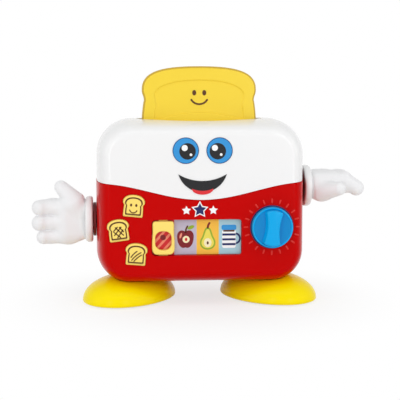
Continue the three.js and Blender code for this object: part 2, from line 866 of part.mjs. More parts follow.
function toastCarriage() {
  const half = wellHalfLength - slideGap;
  const depth = wellHalfDepth - slideGap;
  const tray = block(-half, half, -depth, depth, trayTopZ - carriageFloor, trayTopZ);
  const keel = block(-half, half, -carriageArmHalfDepth / 2, carriageArmHalfDepth / 2, armBottomZ, trayTopZ);
  const pegs = [-toastPegX, toastPegX].map((x) => (
    rodAlongZ(toastPegRadius, trayTopZ - carriageFloor, toastBaseZ + toastPegHeight, x, 0, smallSides)));
  const armStart = half - carriageArmHalfDepth;
  const armEnd = rodX + earReach;
  const blockEnd = shutterFaceX - shutterThickness;
  const arms = [
    block(-armEnd, -armStart, -carriageArmHalfDepth, carriageArmHalfDepth, armBottomZ, armTopZ),
    block(armStart, blockEnd, -carriageArmHalfDepth, carriageArmHalfDepth, armBottomZ, armTopZ),
  ];
  const [blockLow, blockHigh] = [leverShaftZ - leverBlockHeight / 2, leverShaftZ + leverBlockHeight / 2];
  const head = block(leverBlockX, blockEnd, -leverBlockHalfDepth, leverBlockHalfDepth, blockLow, blockHigh);
  const shutterTop = leverShaftZ + leverTravel + armShaftRadius + shutterMargin;
  const shutter = block(
    blockEnd - touchGap, shutterFaceX, -shutterHalfDepth, shutterHalfDepth, shutterBottomZ, shutterTop);
  const solids = joined([tray, keel, ...pegs, ...arms, head, shutter]);
  const holeLow = Math.min(armBottomZ, blockLow) - cutOverrun;
  const holeHigh = Math.max(armTopZ, blockHigh) + cutOverrun;
  const rodHoles = [-rodX, rodX].map((x) => (
    rodAlongZ(rodRadius + slideGap, holeLow, holeHigh, x, 0, smallSides)));
  const shaftRadius = armShaftRadius + touchGap;
  const shaftBore = rodAlongX(
    shaftRadius, leverBlockX + caseWall, shutterFaceX + cutOverrun, 0, leverShaftZ, smallSides);
  return solids.subtract(joined([...rodHoles, shaftBore]));
}

// The steel pin that a hand turns on: a plain shaft with a barb inside the hand.
function armShaft(startX, flange) {
  const endX = armShaftEndX;
  const barbStart = endX - barbLength - barbLength;
  const profile = flange
    ? [[0, startX], [armFlangeRadius, startX], [armFlangeRadius, startX + armFlangeLength],
      [armShaftRadius, startX + armFlangeLength]]
    : [[0, startX], [armShaftRadius, startX]];
  profile.push([armShaftRadius, barbStart], [barbRadius, barbStart], [armShaftRadius, endX], [0, endX]);
  return turnedAboutX(profile, smallSides);
}

function toastWell() {
  const [length, depth] = [wellHalfLength, wellHalfDepth];
  const neckZ = caseTopZ - wellNeckDrop;
  const mouthZ = caseTopZ - caseWall - wellWall;
  const rim = (grow) => [slotHalfLength - slideGap - grow, slotEndHalf - slideGap - grow,
    slotMiddleHalf - slideGap - grow];
  const outerSize = [length + wellWall, depth + wellWall, depth + wellWall];
  const outer = ringLoft([
    slotRing(...outerSize, wellBottomZ),
    slotRing(...outerSize, neckZ - wellWall),
    slotRing(...rim(0), mouthZ),
    slotRing(...rim(0), caseTopZ + cutOverrun),
  ]);
  const inner = ringLoft([
    slotRing(length, depth, depth, wellBottomZ - cutOverrun),
    slotRing(length, depth, depth, neckZ),
    slotRing(...rim(wellWall), mouthZ + wellWall),
    slotRing(...rim(wellWall), caseTopZ + 2 * cutOverrun),
  ]);
  const trim = wholeCasing(touchGap);
  const upperEarZ = armTopZ + upperEarClearance;
  const earEnd = rodX + earReach;
  const parts = [outer.intersect(trim)];
  for (const side of [-1, 1]) {
    const [x0, x1] = side < 0 ? [-earEnd, -length - wellWall / 2] : [length + wellWall / 2, earEnd];
    const [legNear, legFar] = [length + wellWall, rodX + rodRadius / 2];
    const [foot0, foot1] = side < 0 ? [-legFar, -legNear] : [legNear, legFar];
    parts.push(block(x0, x1, -earHalfDepth, earHalfDepth, wellBottomZ, wellBottomZ + earHeight));
    parts.push(block(x0, x1, -earHalfDepth, earHalfDepth, upperEarZ, upperEarZ + upperEarHeight));
    const leg = block(foot0, foot1, -legHalfDepth, legHalfDepth, caseFloorZ, wellBottomZ + earHeight / 2);
    parts.push(leg.intersect(redRoom()));
  }
  const slotLow = armBottomZ - leverTravel - wellWall;
  const slotHigh = upperEarZ;
  const slotHalf = carriageArmHalfDepth + slideGap;
  const slots = [-1, 1].map((side) => {
    const [near, far] = [length - cutOverrun, length + 2 * wellWall];
    const [x0, x1] = side < 0 ? [-far, -near] : [near, far];
    return block(x0, x1, -slotHalf, slotHalf, slotLow, slotHigh);
  });
  const rodHoles = [-rodX, rodX].map((x) => (
    rodAlongZ(rodRadius + touchGap, wellBottomZ + wellWall, caseTopZ, x, 0, smallSides)));
  const bosses = bossClearances(caseHalfDepth);
  return joined(parts).subtract(joined([inner, ...slots, ...rodHoles, ...bosses]));
}

function guideRod(x) {
  const start = wellBottomZ + wellWall + touchGap;
  const end = armTopZ + upperEarClearance + upperEarHeight;
  return rodAlongZ(rodRadius, start, end, x, 0, smallSides);
}

// A coil spring round a guide rod, between the well's lower ear and the carriage's arm.
function returnSpring(x) {
  const low = wellBottomZ + earHeight + touchGap + springWireRadius;
  const high = armBottomZ - touchGap - springWireRadius;
  const stepsPerTurn = 6;
  const steps = springTurns * stepsPerTurn;
  const sides = 4;
  const rings = [];
  for (let k = 0; k <= steps; k += 1) {
    const angle = 2 * Math.PI * k / stepsPerTurn;
    const height = low + (high - low) * k / steps;
    const ring = [];
    for (let s = 0; s < sides; s += 1) {
      const around = 2 * Math.PI * s / sides;
      const reach = springCoilRadius + springWireRadius * Math.cos(around);
      ring.push([
        x + reach * Math.cos(angle), reach * Math.sin(angle),
        height + springWireRadius * Math.sin(around),
      ]);
    }
    rings.push(ring);
  }
  return ringLoft(rings);
}

// Hands: made with the thumb up, the palm to the front and the fingers along +X.

function taperedCapsule(from, to, fromRadius, toRadius) {
  const start = new THREE.Vector3(...from);
  const along = new THREE.Vector3(...to).sub(start);
  const length = along.length();
  const capSteps = 2;
  const profile = [];
  for (let k = 0; k <= capSteps; k += 1) {
    const angle = k / capSteps * Math.PI / 2;
    profile.push(new THREE.Vector2(fromRadius * Math.sin(angle), -fromRadius * Math.cos(angle)));
  }
  for (let k = capSteps; k >= 0; k -= 1) {
    const angle = k / capSteps * Math.PI / 2;
    profile.push(new THREE.Vector2(toRadius * Math.sin(angle), length + toRadius * Math.cos(angle)));
  }
  const form = new THREE.LatheGeometry(profile, fingerSides);
  const turn = new THREE.Quaternion().setFromUnitVectors(new THREE.Vector3(0, 1, 0), along.normalize());
  form.applyQuaternion(turn);
  form.translate(...start);
  return solidOf(form);
}

// Places and radii as shares of the hand's length: along it, to the thumb, to the palm.
const fingerShares = [
  { root: [0.34, 0.2, 0.11], knuckle: [0.6, 0.225, 0.11], tip: [0.85, 0.225, -0.03], radius: 0.15 },
  { root: [0.34, -0.06, 0.11], knuckle: [0.6, -0.065, 0.11], tip: [0.848, -0.06, -0.03], radius: 0.152 },
  { root: [0.34, -0.31, 0.11], knuckle: [0.58, -0.335, 0.11], tip: [0.79, -0.33, -0.02], radius: 0.132 },
];
const fingerTipShare = 0.97;
const thumbShares = { root: [0.12, 0.3, -0.06], tip: [0.43, 0.597, -0.06], radius: 0.19, tipRadius: 0.138 };
// The palm's radius along the hand: [share of the length, share of the length]
const palmShares = [
  [0, 0.375], [0.1, 0.4], [0.26, 0.44], [0.46, 0.455], [0.58, 0.42], [0.68, 0.3], [0.72, 0],
];
const palmFlatShare = 0.62;
const palmShiftShares = [-0.02, 0.05];

function handForm() {
  const size = handLength;
  const scaled = (shares) => shares.map((share) => share * size);
  const parts = [];
  for (const { root, knuckle, tip, radius } of fingerShares) {
    parts.push(taperedCapsule(scaled(root), scaled(knuckle), radius * size, radius * size));
    parts.push(taperedCapsule(scaled(knuckle), scaled(tip), radius * size, radius * size * fingerTipShare));
  }
  const { root, tip, radius, tipRadius } = thumbShares;
  parts.push(taperedCapsule(scaled(root), scaled(tip), radius * size, tipRadius * size));
  const profile = palmShares.map(([x, r]) => new THREE.Vector2(r * size, x * size));
  const palm = new THREE.LatheGeometry([new THREE.Vector2(0, 0), ...profile], palmSides);
  palm.rotateZ(-Math.PI / 2);
  palm.scale(1, palmFlatShare, 1);
  palm.translate(0, palmShiftShares[1] * size, palmShiftShares[0] * size);
  return { parts, palm: solidOf(palm) };
}

// The same hand with its thumb along +Z, its palm to -Y, and a stepped bore for its shaft.
function handSolid() {
  const { parts, palm } = handForm();
  const turnUp = new THREE.Matrix4().set(1, 0, 0, 0, 0, 0, 1, 0, 0, 1, 0, 0, 0, 0, 0, 1);
  const fingers = joined(parts.map((part) => moved(part, turnUp)));
  const keepX = block(0, 2 * handLength, -handLength, handLength, -handLength, handLength);
  const bore = rodAlongX(armShaftRadius + touchGap, -cutOverrun, armShaftDepth + touchGap, 0, 0, smallSides);
  const barbStart = armShaftDepth - 2 * barbLength - touchGap;
  const pocket = rodAlongX(barbRadius + touchGap, barbStart, armShaftDepth + touchGap, 0, 0, smallSides);
  return palm.add(fingers).intersect(keepX).subtract(bore.add(pocket));
}

// The cuff's outline as shares: [share of its radius, share of its length]
const cuffShares = [[0.91, 0], [0.985, 0.16], [1, 0.38], [0.965, 0.62], [0.88, 0.86], [0.76, 1]];

// A cuff, flattened a little from front to back, with a round bore.
function cuffSolid() {
  const outline = cuffShares.map(([radius, x]) => [radius * cuffRadius, x * cuffLength]);
  const round = turnedAboutX([[0, 0], ...outline, [0, cuffLength]], fineSides);
  const oval = moved(round, new THREE.Matrix4().makeScale(1, cuffFlatShare, 1));
  return oval.subtract(rodAlongX(
    armShaftRadius + touchGap, -cutOverrun, cuffLength + cutOverrun, 0, 0, smallSides));
}

function shoulderDisc(faceX, backX) {
  const bore = armShaftRadius + touchGap;
  const round = (faceX - backX) / 3;
  const profile = [
    [bore, backX], [shoulderRadius, backX], [shoulderRadius, faceX - round],
    [shoulderRadius - round, faceX], [bore, faceX], [bore, backX],
  ];
  return turnedAboutX(profile, roundSides);
}

// Feet

function footRing(grow, z, steps) {
  const ring = [];
  const [sin, cos] = [Math.sin(footSplay * radians), Math.cos(footSplay * radians)];
  for (let k = 0; k < steps; k += 1) {
    const angle = 2 * Math.PI * k / steps;
    const along = (footHalfLength + grow) * Math.cos(angle);
    const across = (footHalfWidth + grow) * Math.sin(angle);
    ring.push([footCentreX + along * sin + across * cos, footCentreY - along * cos + across * sin, z]);
  }
  return ring;
}

// Rings up a foot's dome; they stop just short of its top, which is flat there.
function footDome(inset, height, steps, levels, base) {
  const scale = 1 - inset / footHalfWidth;
  const rings = [];
  for (let k = 0; k <= levels; k += 1) {
    const angle = k / levels * footDomeShare * Math.PI / 2;
    const grow = footHalfWidth * (Math.cos(angle) * scale - 1);
    rings.push(footRing(grow, base + (height - base) * Math.sin(angle), steps));
  }
  return rings;
}

function footSolid() {
  const outer = ringLoft([
    footRing(-footRimTuck, 0, fineSides), ...footDome(0, footHeight, fineSides, 5, footRimHeight),
  ]);
  const inset = footWall + footRimTuck;
  const inner = ringLoft(footDome(inset, footHeight - footWall, footInnerSides, 3, footSole));
  const [frontY, rearY] = [-footScrewY, footScrewY];
  const soleHole = rodAlongZ(
    footScrewHoleRadius, -cutOverrun, footSole + cutOverrun, footScrewX, frontY, smallSides);
  const post = rodAlongZ(footPostRadius, footPostZ, footHeight, footScrewX, frontY, smallSides);
  const pinBase = rodAlongZ(footPostRadius, footPostZ, footHeight, footScrewX, rearY, smallSides);
  const casing = wholeCasing(redStepIn - touchGap);
  const pinTop = footBossTopZ - caseWall - slideGap;
  const pin = rodAlongZ(footPinRadius, footPostZ, pinTop, footScrewX, rearY, smallSides);
  const bore = rodAlongZ(screwHoleRadius, footSole, 2 * footHeight, footScrewX, frontY, smallSides);
  return outer.subtract(inner).add(post.add(pinBase)).subtract(casing).add(pin).subtract(bore.add(soleHole));
}

function footScrew(x) {
  const headTop = footPostZ - touchGap;
  const headZ = headTop - screwHeadHeight;
  const tip = footBossTopZ - caseWall - touchGap;
  const shank = rodAlongZ(screwRadius, headZ, tip, x, -footScrewY, smallSides);
  return shank.add(rodAlongZ(screwHeadRadius, headZ, headTop, x, -footScrewY, smallSides));
}

// Play panel

function pictureSlider() {
  const baseZ = windowCentreZ - sliderHeight / 2;
  const outline = breadShape(sliderWidth, sliderHeight, sliderX, baseZ);
  const front = redFrontY - sliderProud;
  const body = plateAcrossY(outline, front, sliderBackY, 5);
  const holeShape = roundedRectangle(
    sliderX, windowCentreZ - sliderHoleDrop, sliderHoleWidth, sliderHoleHeight,
    sliderHoleWidth * sliderHoleCornerShare);
  const hole = plateAcrossY(holeShape, front - cutOverrun, sliderBackY + cutOverrun, 4);
  const parts = [body.subtract(hole)];
  const tabY = sliderBackY - sliderTabThickness;
  const legEnd = trayBackY + slideGap;
  const [left, right] = [sliderX - sliderTabHalf, sliderX + sliderTabHalf];
  for (const side of [-1, 1]) {
    const edge = windowCentreZ + side * sliderHeight / 2;
    const tip = edge + side * sliderTabHeight;
    const start = edge - side * sliderTabLap;
    const [low, high] = [Math.min(start, tip), Math.max(start, tip)];
    parts.push(block(left, right, tabY, sliderBackY, low, high));
    const inner = tip - side * sliderLegHeight;
    const [legLow, legHigh] = [Math.min(inner, tip), Math.max(inner, tip)];
    parts.push(block(left, right, tabY, legEnd - touchGap, legLow, legHigh));
  }
  return joined(parts);
}

function pictureTray() {
  const halfWidth = windowWidth / 2 + traySideMargin;
  const [left, right] = [windowCentreX - halfWidth, windowCentreX + halfWidth];
  const [low, high] = [windowCentreZ - trayHalfHeight, windowCentreZ + trayHalfHeight];
  const tray = block(left, right, trayFrontY, trayBackY, low, high);
  const legTop = sliderHeight / 2 + sliderTabHeight;
  const pocketHalf = legTop + slideGap;
  const runLeft = sliderX - sliderWidth / 2 - slideGap / 2;
  const runRight = sliderX + sliderWidth / 2 + sliderTravel + slideGap / 2;
  const pocket = block(
    runLeft, runRight, trayFrontY - cutOverrun, trayFloorY,
    windowCentreZ - pocketHalf, windowCentreZ + pocketHalf);
  const cuts = [pocket];
  for (const side of [-1, 1]) {
    const middle = windowCentreZ + side * (legTop - sliderLegHeight / 2);
    const half = sliderLegHeight / 2 + slideGap;
    const [slotLeft, slotRight] = [
      sliderX - sliderTabHalf - slideGap, sliderX + sliderTravel + sliderTabHalf + slideGap];
    cuts.push(block(
      slotLeft, slotRight, trayFrontY - cutOverrun, trayBackY + cutOverrun, middle - half, middle + half));
  }
  const posts = [];
  for (const x of [left + trayPostRadius, right - trayPostRadius]) {
    for (const z of [low + trayPostRadius, high - trayPostRadius]) {
      posts.push(rodAlongY(trayPostRadius, trayFloorY, sliderBoardY - touchGap, x, z, smallSides));
    }
  }
  return joined([tray, ...posts]).subtract(joined(cuts));
}

function pictureStrip() {
  const half = windowHeight / 2 - touchGap;
  const left = sliderX - sliderWidth / 2;
  const right = left + sliderWidth + sliderTravel;
  return block(
    left, right, trayFloorY - pictureThickness, trayFloorY, windowCentreZ - half, windowCentreZ + half);
}

function sliderBridge() {
  const half = sliderHeight / 2 + sliderTabHeight;
  const start = trayBackY + slideGap;
  const plate = block(
    sliderX - bridgeHalfWidth, sliderX + bridgeHalfWidth, start, bridgeBackY,
    windowCentreZ - half, windowCentreZ + half);
  const bump = sliderBoardY - touchGap - bridgeBackY;
  const contacts = [-1, 0, 1].map((step) => rodAlongY(
    bridgeBumpHeight, bridgeBackY - touchGap, bridgeBackY + bump, sliderX, windowCentreZ + step * half / 2,
    contactSides));
  return joined([plate, ...contacts]);
}

function sliderBoard() {
  const halfWidth = windowWidth / 2 + traySideMargin;
  return block(
    windowCentreX - halfWidth, windowCentreX + halfWidth, sliderBoardY, sliderBoardY + boardThickness,
    windowCentreZ - trayHalfHeight, windowCentreZ + trayHalfHeight);
}

function panelButton({ x, z, tilt }) {
  const front = redFrontY - buttonProud;
  const outline = breadShape(buttonWidth, buttonHeight, x, z - buttonHeight / 2);
  const top = plateAcrossY(outline, front, buttonBackY + buttonFlangeThickness, 3);
  const grow = 2 * buttonFlange;
  const flangeShape = breadShape(buttonWidth + grow, buttonHeight + grow, x, z - (buttonHeight + grow) / 2);
  const flange = plateAcrossY(flangeShape, buttonBackY, buttonBackY + buttonFlangeThickness, 3);
  const inside = casingHalf(redInset + touchGap, -1, 0, innerEdgeSteps, innerCornerSteps);
  const stem = rodAlongY(
    buttonStemRadius, buttonBackY, buttonStemEndY, x, z, smallSides);
  const turned = tiltedAboutY(flange, x, z, tilt).intersect(inside);
  return joined([tiltedAboutY(top, x, z, tilt), turned, stem]);
}

function buttonMembrane() {
  const sheet = block(
    buttonBoardLeft, buttonBoardRight, membraneY, membraneY + membraneThickness - touchGap,
    buttonBoardBottom, buttonBoardTop);
  const domes = buttons.map(({ x, z }) => rodAlongY(
    domeRadius, domeTopY, membraneY + membraneThickness / 2, x, z, smallSides));
  const posts = buttonPosts(slideGap, membraneY - cutOverrun, buttonBoardY);
  return joined([sheet, ...domes]).subtract(joined([...posts, ...bossClearances(0)]));
}

function buttonBoard() {
  const board = block(
    buttonBoardLeft, buttonBoardRight, buttonBoardY, buttonBoardY + boardThickness,
    buttonBoardBottom, buttonBoardTop);
  return board.subtract(joined(bossClearances(0)));
}

function timerKnob() {
  const faceY = knobBaseY - knobDiscHeight;
  const rim = knobRadius - knobRimWidth;
  const profile = [
    [0, hubEndY], [hubRadius, hubEndY], [hubRadius, knobBaseY], [knobRadius - touchGap, knobBaseY],
    [knobRadius, knobBaseY - touchGap], [knobRadius - touchGap, faceY + knobDishDepth],
    [rim + knobRimWidth / 2, faceY], [rim, faceY], [rim - knobRimWidth, faceY + knobDishDepth],
    [0, faceY + knobDishDepth],
  ];
  const disc = turnedAboutY(profile, knobX, knobZ, fineSides);
  const half = knobGripLength / 2;
  const [end, waist] = [knobGripEndHalf, knobGripWaistHalf];
  const grip = new THREE.Shape();
  const corner = half * knobGripCornerShare;
  const crown = half * knobGripCrownShare;
  grip.moveTo(knobX - end, knobZ - corner);
  grip.quadraticCurveTo(knobX, knobZ - crown, knobX + end, knobZ - corner);
  grip.quadraticCurveTo(knobX + 2 * waist - end, knobZ, knobX + end, knobZ + corner);
  grip.quadraticCurveTo(knobX, knobZ + crown, knobX - end, knobZ + corner);
  grip.quadraticCurveTo(knobX - 2 * waist + end, knobZ, knobX - end, knobZ - corner);
  const bar = plateAcrossY(grip, faceY + knobDishDepth - knobGripHeight, faceY + 2 * knobDishDepth, 6);
  const screwBore = rodAlongY(
    screwHoleRadius, knobBaseY - knobDishDepth, hubEndY + cutOverrun, knobX, knobZ, smallSides);
  return joined([disc, tiltedAboutY(bar, knobX, knobZ, knobTilt)]).subtract(screwBore);
}

function detentWheel() {
  const shape = new THREE.Shape();
  const steps = detentCount * 4;
  for (let k = 0; k < steps; k += 1) {
    const angle = 2 * Math.PI * k / steps;
    const radius = k % 4 === 1 ? detentRadius - detentNotchDepth : detentRadius;
    const point = [knobX + radius * Math.cos(angle), knobZ + radius * Math.sin(angle)];
    if (k) shape.lineTo(...point);
    else shape.moveTo(...point);
  }
  const wheel = plateAcrossY(shape, detentY, detentY + detentThickness, 1);
  const backY = detentY + detentThickness;
  const bore = rodAlongY(screwHoleRadius, detentY - cutOverrun, backY + cutOverrun, knobX, knobZ, smallSides);
  return wheel.subtract(bore);
}

function detentLeaf() {
  const z = knobZ + detentRadius + slideGap + leafThickness / 2;
  const [left, right] = [knobX - leafLength / 2, knobX + leafLength / 2];
  return block(
    left, right, detentY + touchGap, detentY + detentThickness, z - leafThickness / 2, z + leafThickness / 2);
}

function discLabel(x, z, radius, faceY) {
  return rodAlongY(radius, faceY - labelThickness, faceY, x, z, fineSides);
}

// The radius of an arc whose ends are a half width apart from its middle and this deep.
function arcRadius(halfWidth, depth) {
  return (halfWidth ** 2 + depth ** 2) / (2 * depth);
}

// An open smile: a crescent between two arcs that meet in its corners.
function smileLabel() {
  const lower = arcRadius(smileHalfWidth, smileDepth);
  const upper = arcRadius(smileHalfWidth, smileDip);
  const lowerZ = smileCornerZ + lower - smileDepth;
  const upperZ = smileCornerZ + upper - smileDip;
  const lowerTurn = Math.asin(smileHalfWidth / lower);
  const upperTurn = Math.asin(smileHalfWidth / upper);
  const down = -Math.PI / 2;
  const shape = new THREE.Shape();
  shape.absarc(0, lowerZ, lower, down - lowerTurn, down + lowerTurn, false);
  shape.absarc(0, upperZ, upper, down + upperTurn, down - upperTurn, true);
  return plateAcrossY(shape, whiteFrontY - labelThickness, whiteFrontY, 12);
}

function starBadge() {
  const shape = new THREE.Shape();
  for (let k = 0; k < 2 * badgePoints; k += 1) {
    const angle = Math.PI / 2 + Math.PI * k / badgePoints;
    const radius = k % 2 ? badgeRadius * badgeInnerShare : badgeRadius;
    const point = [badgeX + radius * Math.cos(angle), badgeZ + radius * Math.sin(angle)];
    if (k) shape.lineTo(...point);
    else shape.moveTo(...point);
  }
  return plateAcrossY(shape, redFrontY - labelThickness, redFrontY, 1);
}

// Power: battery box, cells, contacts and door

function batteryBox() {
  const wall = batteryWall;
  const [x, z] = [boxHalfLength, boxHalfHeight];
  const outer = block(
    -x - wall, x + wall, boxFrontY - wall, boxRimY, batteryCentreZ - z - wall, batteryCentreZ + z + wall);
  const inner = block(-x, x, boxFrontY, boxRimY + cutOverrun, batteryCentreZ - z, batteryCentreZ + z);
  const boss = rodAlongY(
    doorBossRadius, boxRimY - doorScrewLength - wall, boxRimY, doorBossX, batteryCentreZ, smallSides);
  const web = block(
    x + wall / 2, doorBossX, boxRimY - doorScrewLength, boxRimY,
    batteryCentreZ - doorBossRadius / 2, batteryCentreZ + doorBossRadius / 2);
  const bore = rodAlongY(
    screwHoleRadius, boxRimY - doorScrewLength, boxRimY + cutOverrun, doorBossX, batteryCentreZ, smallSides);
  return joined([outer, boss, web]).subtract(joined([inner, bore]));
}

function batteryCell(index) {
  const z = batteryCentreZ + (index - (cellCount - 1) / 2) * cellPitch;
  const facing = index % 2 ? -1 : 1;
  const half = cellLength / 2;
  const profile = [
    [0, -half], [cellRadius, -half], [cellRadius, half], [cellNubRadius, half],
    [cellNubRadius, half + cellNubHeight], [0, half + cellNubHeight],
  ].map(([radius, x]) => [radius, facing * (x - cellNubHeight / 2)]);
  const cell = turnedAboutX(profile, cellSides);
  return moved(cell, new THREE.Matrix4().makeTranslation(0, cellDepthY, z));
}

function batteryContact(side) {
  const reach = cellLength / 2 + cellNubHeight / 2 + touchGap;
  const outer = boxHalfLength - touchGap;
  const [x0, x1] = side < 0 ? [-outer, -outer + contactPlate] : [outer - contactPlate, outer];
  const z = boxHalfHeight - slideGap;
  const plate = block(
    x0, x1, cellDepthY - cellRadius, cellDepthY + cellRadius, batteryCentreZ - z, batteryCentreZ + z);
  const bumps = [];
  for (let k = 0; k < cellCount; k += 1) {
    const middle = batteryCentreZ + (k - (cellCount - 1) / 2) * cellPitch;
    const [b0, b1] = side < 0 ? [-outer, -reach] : [reach, outer];
    bumps.push(rodAlongX(contactBumpRadius, b0, b1, cellDepthY, middle, smallSides));
  }
  return joined([plate, ...bumps]);
}

function batteryDoor() {
  const outline = roundedRectangle(
    (doorLeft + doorRight) / 2, batteryCentreZ, doorRight - doorLeft, 2 * doorHalfHeight, doorCorner);
  const plate = plateAcrossY(outline, redInnerY, redRearY, 4);
  const [inside, outside] = [redInnerY - cutOverrun, redRearY + cutOverrun];
  const hole = rodAlongY(screwHoleRadius, inside, outside, doorBossX, batteryCentreZ, smallSides);
  const headSeat = rodAlongY(
    screwHeadRadius + touchGap, redRearY - caseWall / 2 - touchGap, outside, doorBossX, batteryCentreZ,
    smallSides);
  return plate.subtract(hole.add(headSeat));
}

function batteryDoorScrew() {
  const headBack = redRearY - caseWall / 2;
  const profile = [
    [0, redRearY - touchGap], [screwHeadRadius, redRearY - touchGap], [screwHeadRadius, headBack],
    [screwRadius, headBack], [screwRadius, headBack - doorScrewLength + 2 * screwRadius],
    [0, headBack - doorScrewLength + screwRadius],
  ];
  return turnedAboutY(profile, doorBossX, batteryCentreZ, smallSides);
}

// Sound: speaker, main board with its parts, power switch and wires

function speakerUnit() {
  const face = whiteInnerY - touchGap;
  const magnetTop = face - speakerDepth;
  const profile = [
    [0, magnetTop], [speakerMagnetRadius, magnetTop], [speakerMagnetRadius, magnetTop + speakerMagnetDepth],
    [speakerRadius * speakerBasketShare, face - speakerFlange], [speakerRadius, face - speakerFlange],
    [speakerRadius, face], [speakerRadius * speakerSurroundShare, face],
    [speakerRadius * speakerConeShare, face - 3 * speakerFlange],
    [speakerRadius * speakerDustCapShare, face - 2 * speakerFlange], [0, face - speakerFlange],
  ];
  return turnedAboutY(profile, 0, speakerCentreZ, roundSides);
}

function mainBoard() {
  const board = block(
    mainBoardLeft, mainBoardRight, mainBoardY, mainBoardY + boardThickness, mainBoardBottom, mainBoardTop);
  const chipX = (mainBoardLeft + mainBoardRight) / 2;
  const chipZ = (mainBoardBottom + mainBoardTop) / 2 - chipSize / 2;
  const half = chipSize / 2;
  const chip = block(
    chipX - half, chipX + half, mainBoardY - chipHeight, mainBoardY + boardThickness / 2,
    chipZ - half, chipZ + half);
  const capacitor = rodAlongY(
    capacitorRadius, mainBoardY - capacitorHeight, mainBoardY + boardThickness / 2,
    mainBoardRight - chipSize, mainBoardTop - chipSize, smallSides);
  const bodyStart = mainBoardY + boardThickness / 2;
  const bodyEnd = mainBoardY + boardThickness + switchDepth;
  const body = block(
    switchX - switchHalfWidth, switchX + switchHalfWidth, bodyStart, bodyEnd,
    switchZ - switchHalfHeight, switchZ + switchHalfHeight);
  const run = switchTravel / 2 + switchStemHalf + slideGap;
  const well = block(
    switchX - run, switchX + run, bodyEnd - switchDepth / 2, bodyEnd + cutOverrun,
    switchZ - switchStemHalf - slideGap, switchZ + switchStemHalf + slideGap);
  return joined([board, chip, capacitor, body]).subtract(well);
}

function powerSlider() {
  const x = switchX - switchTravel / 2;
  const stemStart = mainBoardY + boardThickness + switchDepth / 2 + slideGap;
  const stem = block(
    x - switchStemHalf, x + switchStemHalf, stemStart, redRearY + switchProud,
    switchZ - switchStemHalf, switchZ + switchStemHalf);
  const flange = block(
    x - switchFlangeHalf, x + switchFlangeHalf, switchFlangeY, switchFlangeY + switchFlangeThickness,
    switchZ - switchHalfHeight, switchZ + switchHalfHeight);
  return stem.add(flange);
}

// A wire through points, as a plain tube.
function wire(points) {
  const curve = new THREE.CatmullRomCurve3(points.map((point) => new THREE.Vector3(...point)));
  const section = new THREE.Shape();
  for (let k = 0; k < wireSides; k += 1) {
    const angle = 2 * Math.PI * k / wireSides;
    const point = [wireRadius * Math.cos(angle), wireRadius * Math.sin(angle)];
    if (k) section.lineTo(...point);
    else section.moveTo(...point);
  }
  return solidOf(new THREE.ExtrudeGeometry(section, { steps: 12, extrudePath: curve, bevelEnabled: false }));
}

function batteryWire() {
  const startX = boxHalfLength + batteryWall + touchGap;
  const y = mainBoardY + wireLoop;
  const z = mainBoardBottom + boardPostInset;
  const endX = mainBoardLeft + 2 * boardPostInset + wireLoop;
  const endY = mainBoardY + boardThickness + touchGap;
  return wire([
    [startX, y - wireLoop, z - wireLoop], [startX + wireLoop, y - wireLoop, z - wireLoop],
    [mainBoardLeft, y + wireLoop / 2, z + wireLoop],
    [endX, endY + wireLoop / 2, z + wireLoop], [endX, endY, z + wireLoop],
  ]);
}

function speakerWire() {
  const startY = whiteInnerY - touchGap - speakerDepth + speakerMagnetDepth / 2;
  const startX = speakerMagnetRadius + touchGap;
  const topZ = mainBoardTop + touchGap;
  const endX = mainBoardLeft + 3 * boardPostInset;
  const y = mainBoardY + boardThickness / 2;
  return wire([
    [startX, startY, speakerCentreZ], [startX + wireLoop, startY, speakerCentreZ],
    [endX - wireLoop, y, (speakerCentreZ + topZ) / 2],
    [endX, y, topZ + wireLoop], [endX, y, topZ],
  ]);
}

// Materials

function plastic(color, roughness = 0.35) {
  return new THREE.MeshStandardMaterial({ color, roughness, metalness: 0 });
}

function metal(color, roughness = 0.35) {
  return new THREE.MeshStandardMaterial({ color, roughness, metalness: 1 });
}

const whitePlastic = plastic('#f4f4f2', 0.2);
const redPlastic = plastic('#cc0a06', 0.22);
const darkRedPlastic = plastic('#8e0a08', 0.4);
const toastPlastic = plastic('#f2d63c', 0.35);
const yellowPlastic = plastic('#ffd800', 0.25);
const breadPlastic = plastic('#ffe36a', 0.3);
const bluePlastic = plastic('#0aa6e4', 0.25);
const handPlastic = plastic('#f2f2f2', 0.4);
const greyPlastic = plastic('#9a9c9e', 0.5);
const blackPlastic = plastic('#202124', 0.5);
const boardMaterial = plastic('#2f6b3a', 0.6);
const printMaterial = plastic('#1c2f52', 0.3);
const eyeMaterial = plastic('#2f96d6', 0.25);
const rubberMaterial = plastic('#c9cdd0', 0.8);
const cellMaterial = plastic('#b9742a', 0.35);
const steel = metal('#b8bcc0', 0.3);
const wireMaterial = plastic('#b01818', 0.5);

const toaster = new THREE.Group();

function addPiece(name, solid, material) {
  const mesh = new THREE.Mesh(geometryOf(solid), material);
  mesh.name = name;
  toaster.add(mesh);
  return mesh;
}

function addCasing() {
  addPiece('front_upper_shell', frontUpperShell(), whitePlastic);
  addPiece('front_lower_shell', frontLowerShell(), redPlastic);
  addPiece('rear_upper_shell', rearUpperShell(), whitePlastic);
  addPiece('rear_lower_shell', rearLowerShell(), redPlastic);
  caseScrews.forEach(({ x, z }, index) => {
    const screw = screwAlongY(x, z, caseScrewHeadY, caseScrewLength);
    addPiece(`case_screw_${index + 1}`, screw, steel);
  });
}

function addLabels() {
  addPiece('left_eye_label', discLabel(-eyeX, eyeZ, eyeRadius, whiteFrontY), eyeMaterial);
  addPiece('right_eye_label', discLabel(eyeX, eyeZ, eyeRadius, whiteFrontY), eyeMaterial);
  addPiece('smile_label', smileLabel(), printMaterial);
  addPiece('star_badge', starBadge(), printMaterial);
}

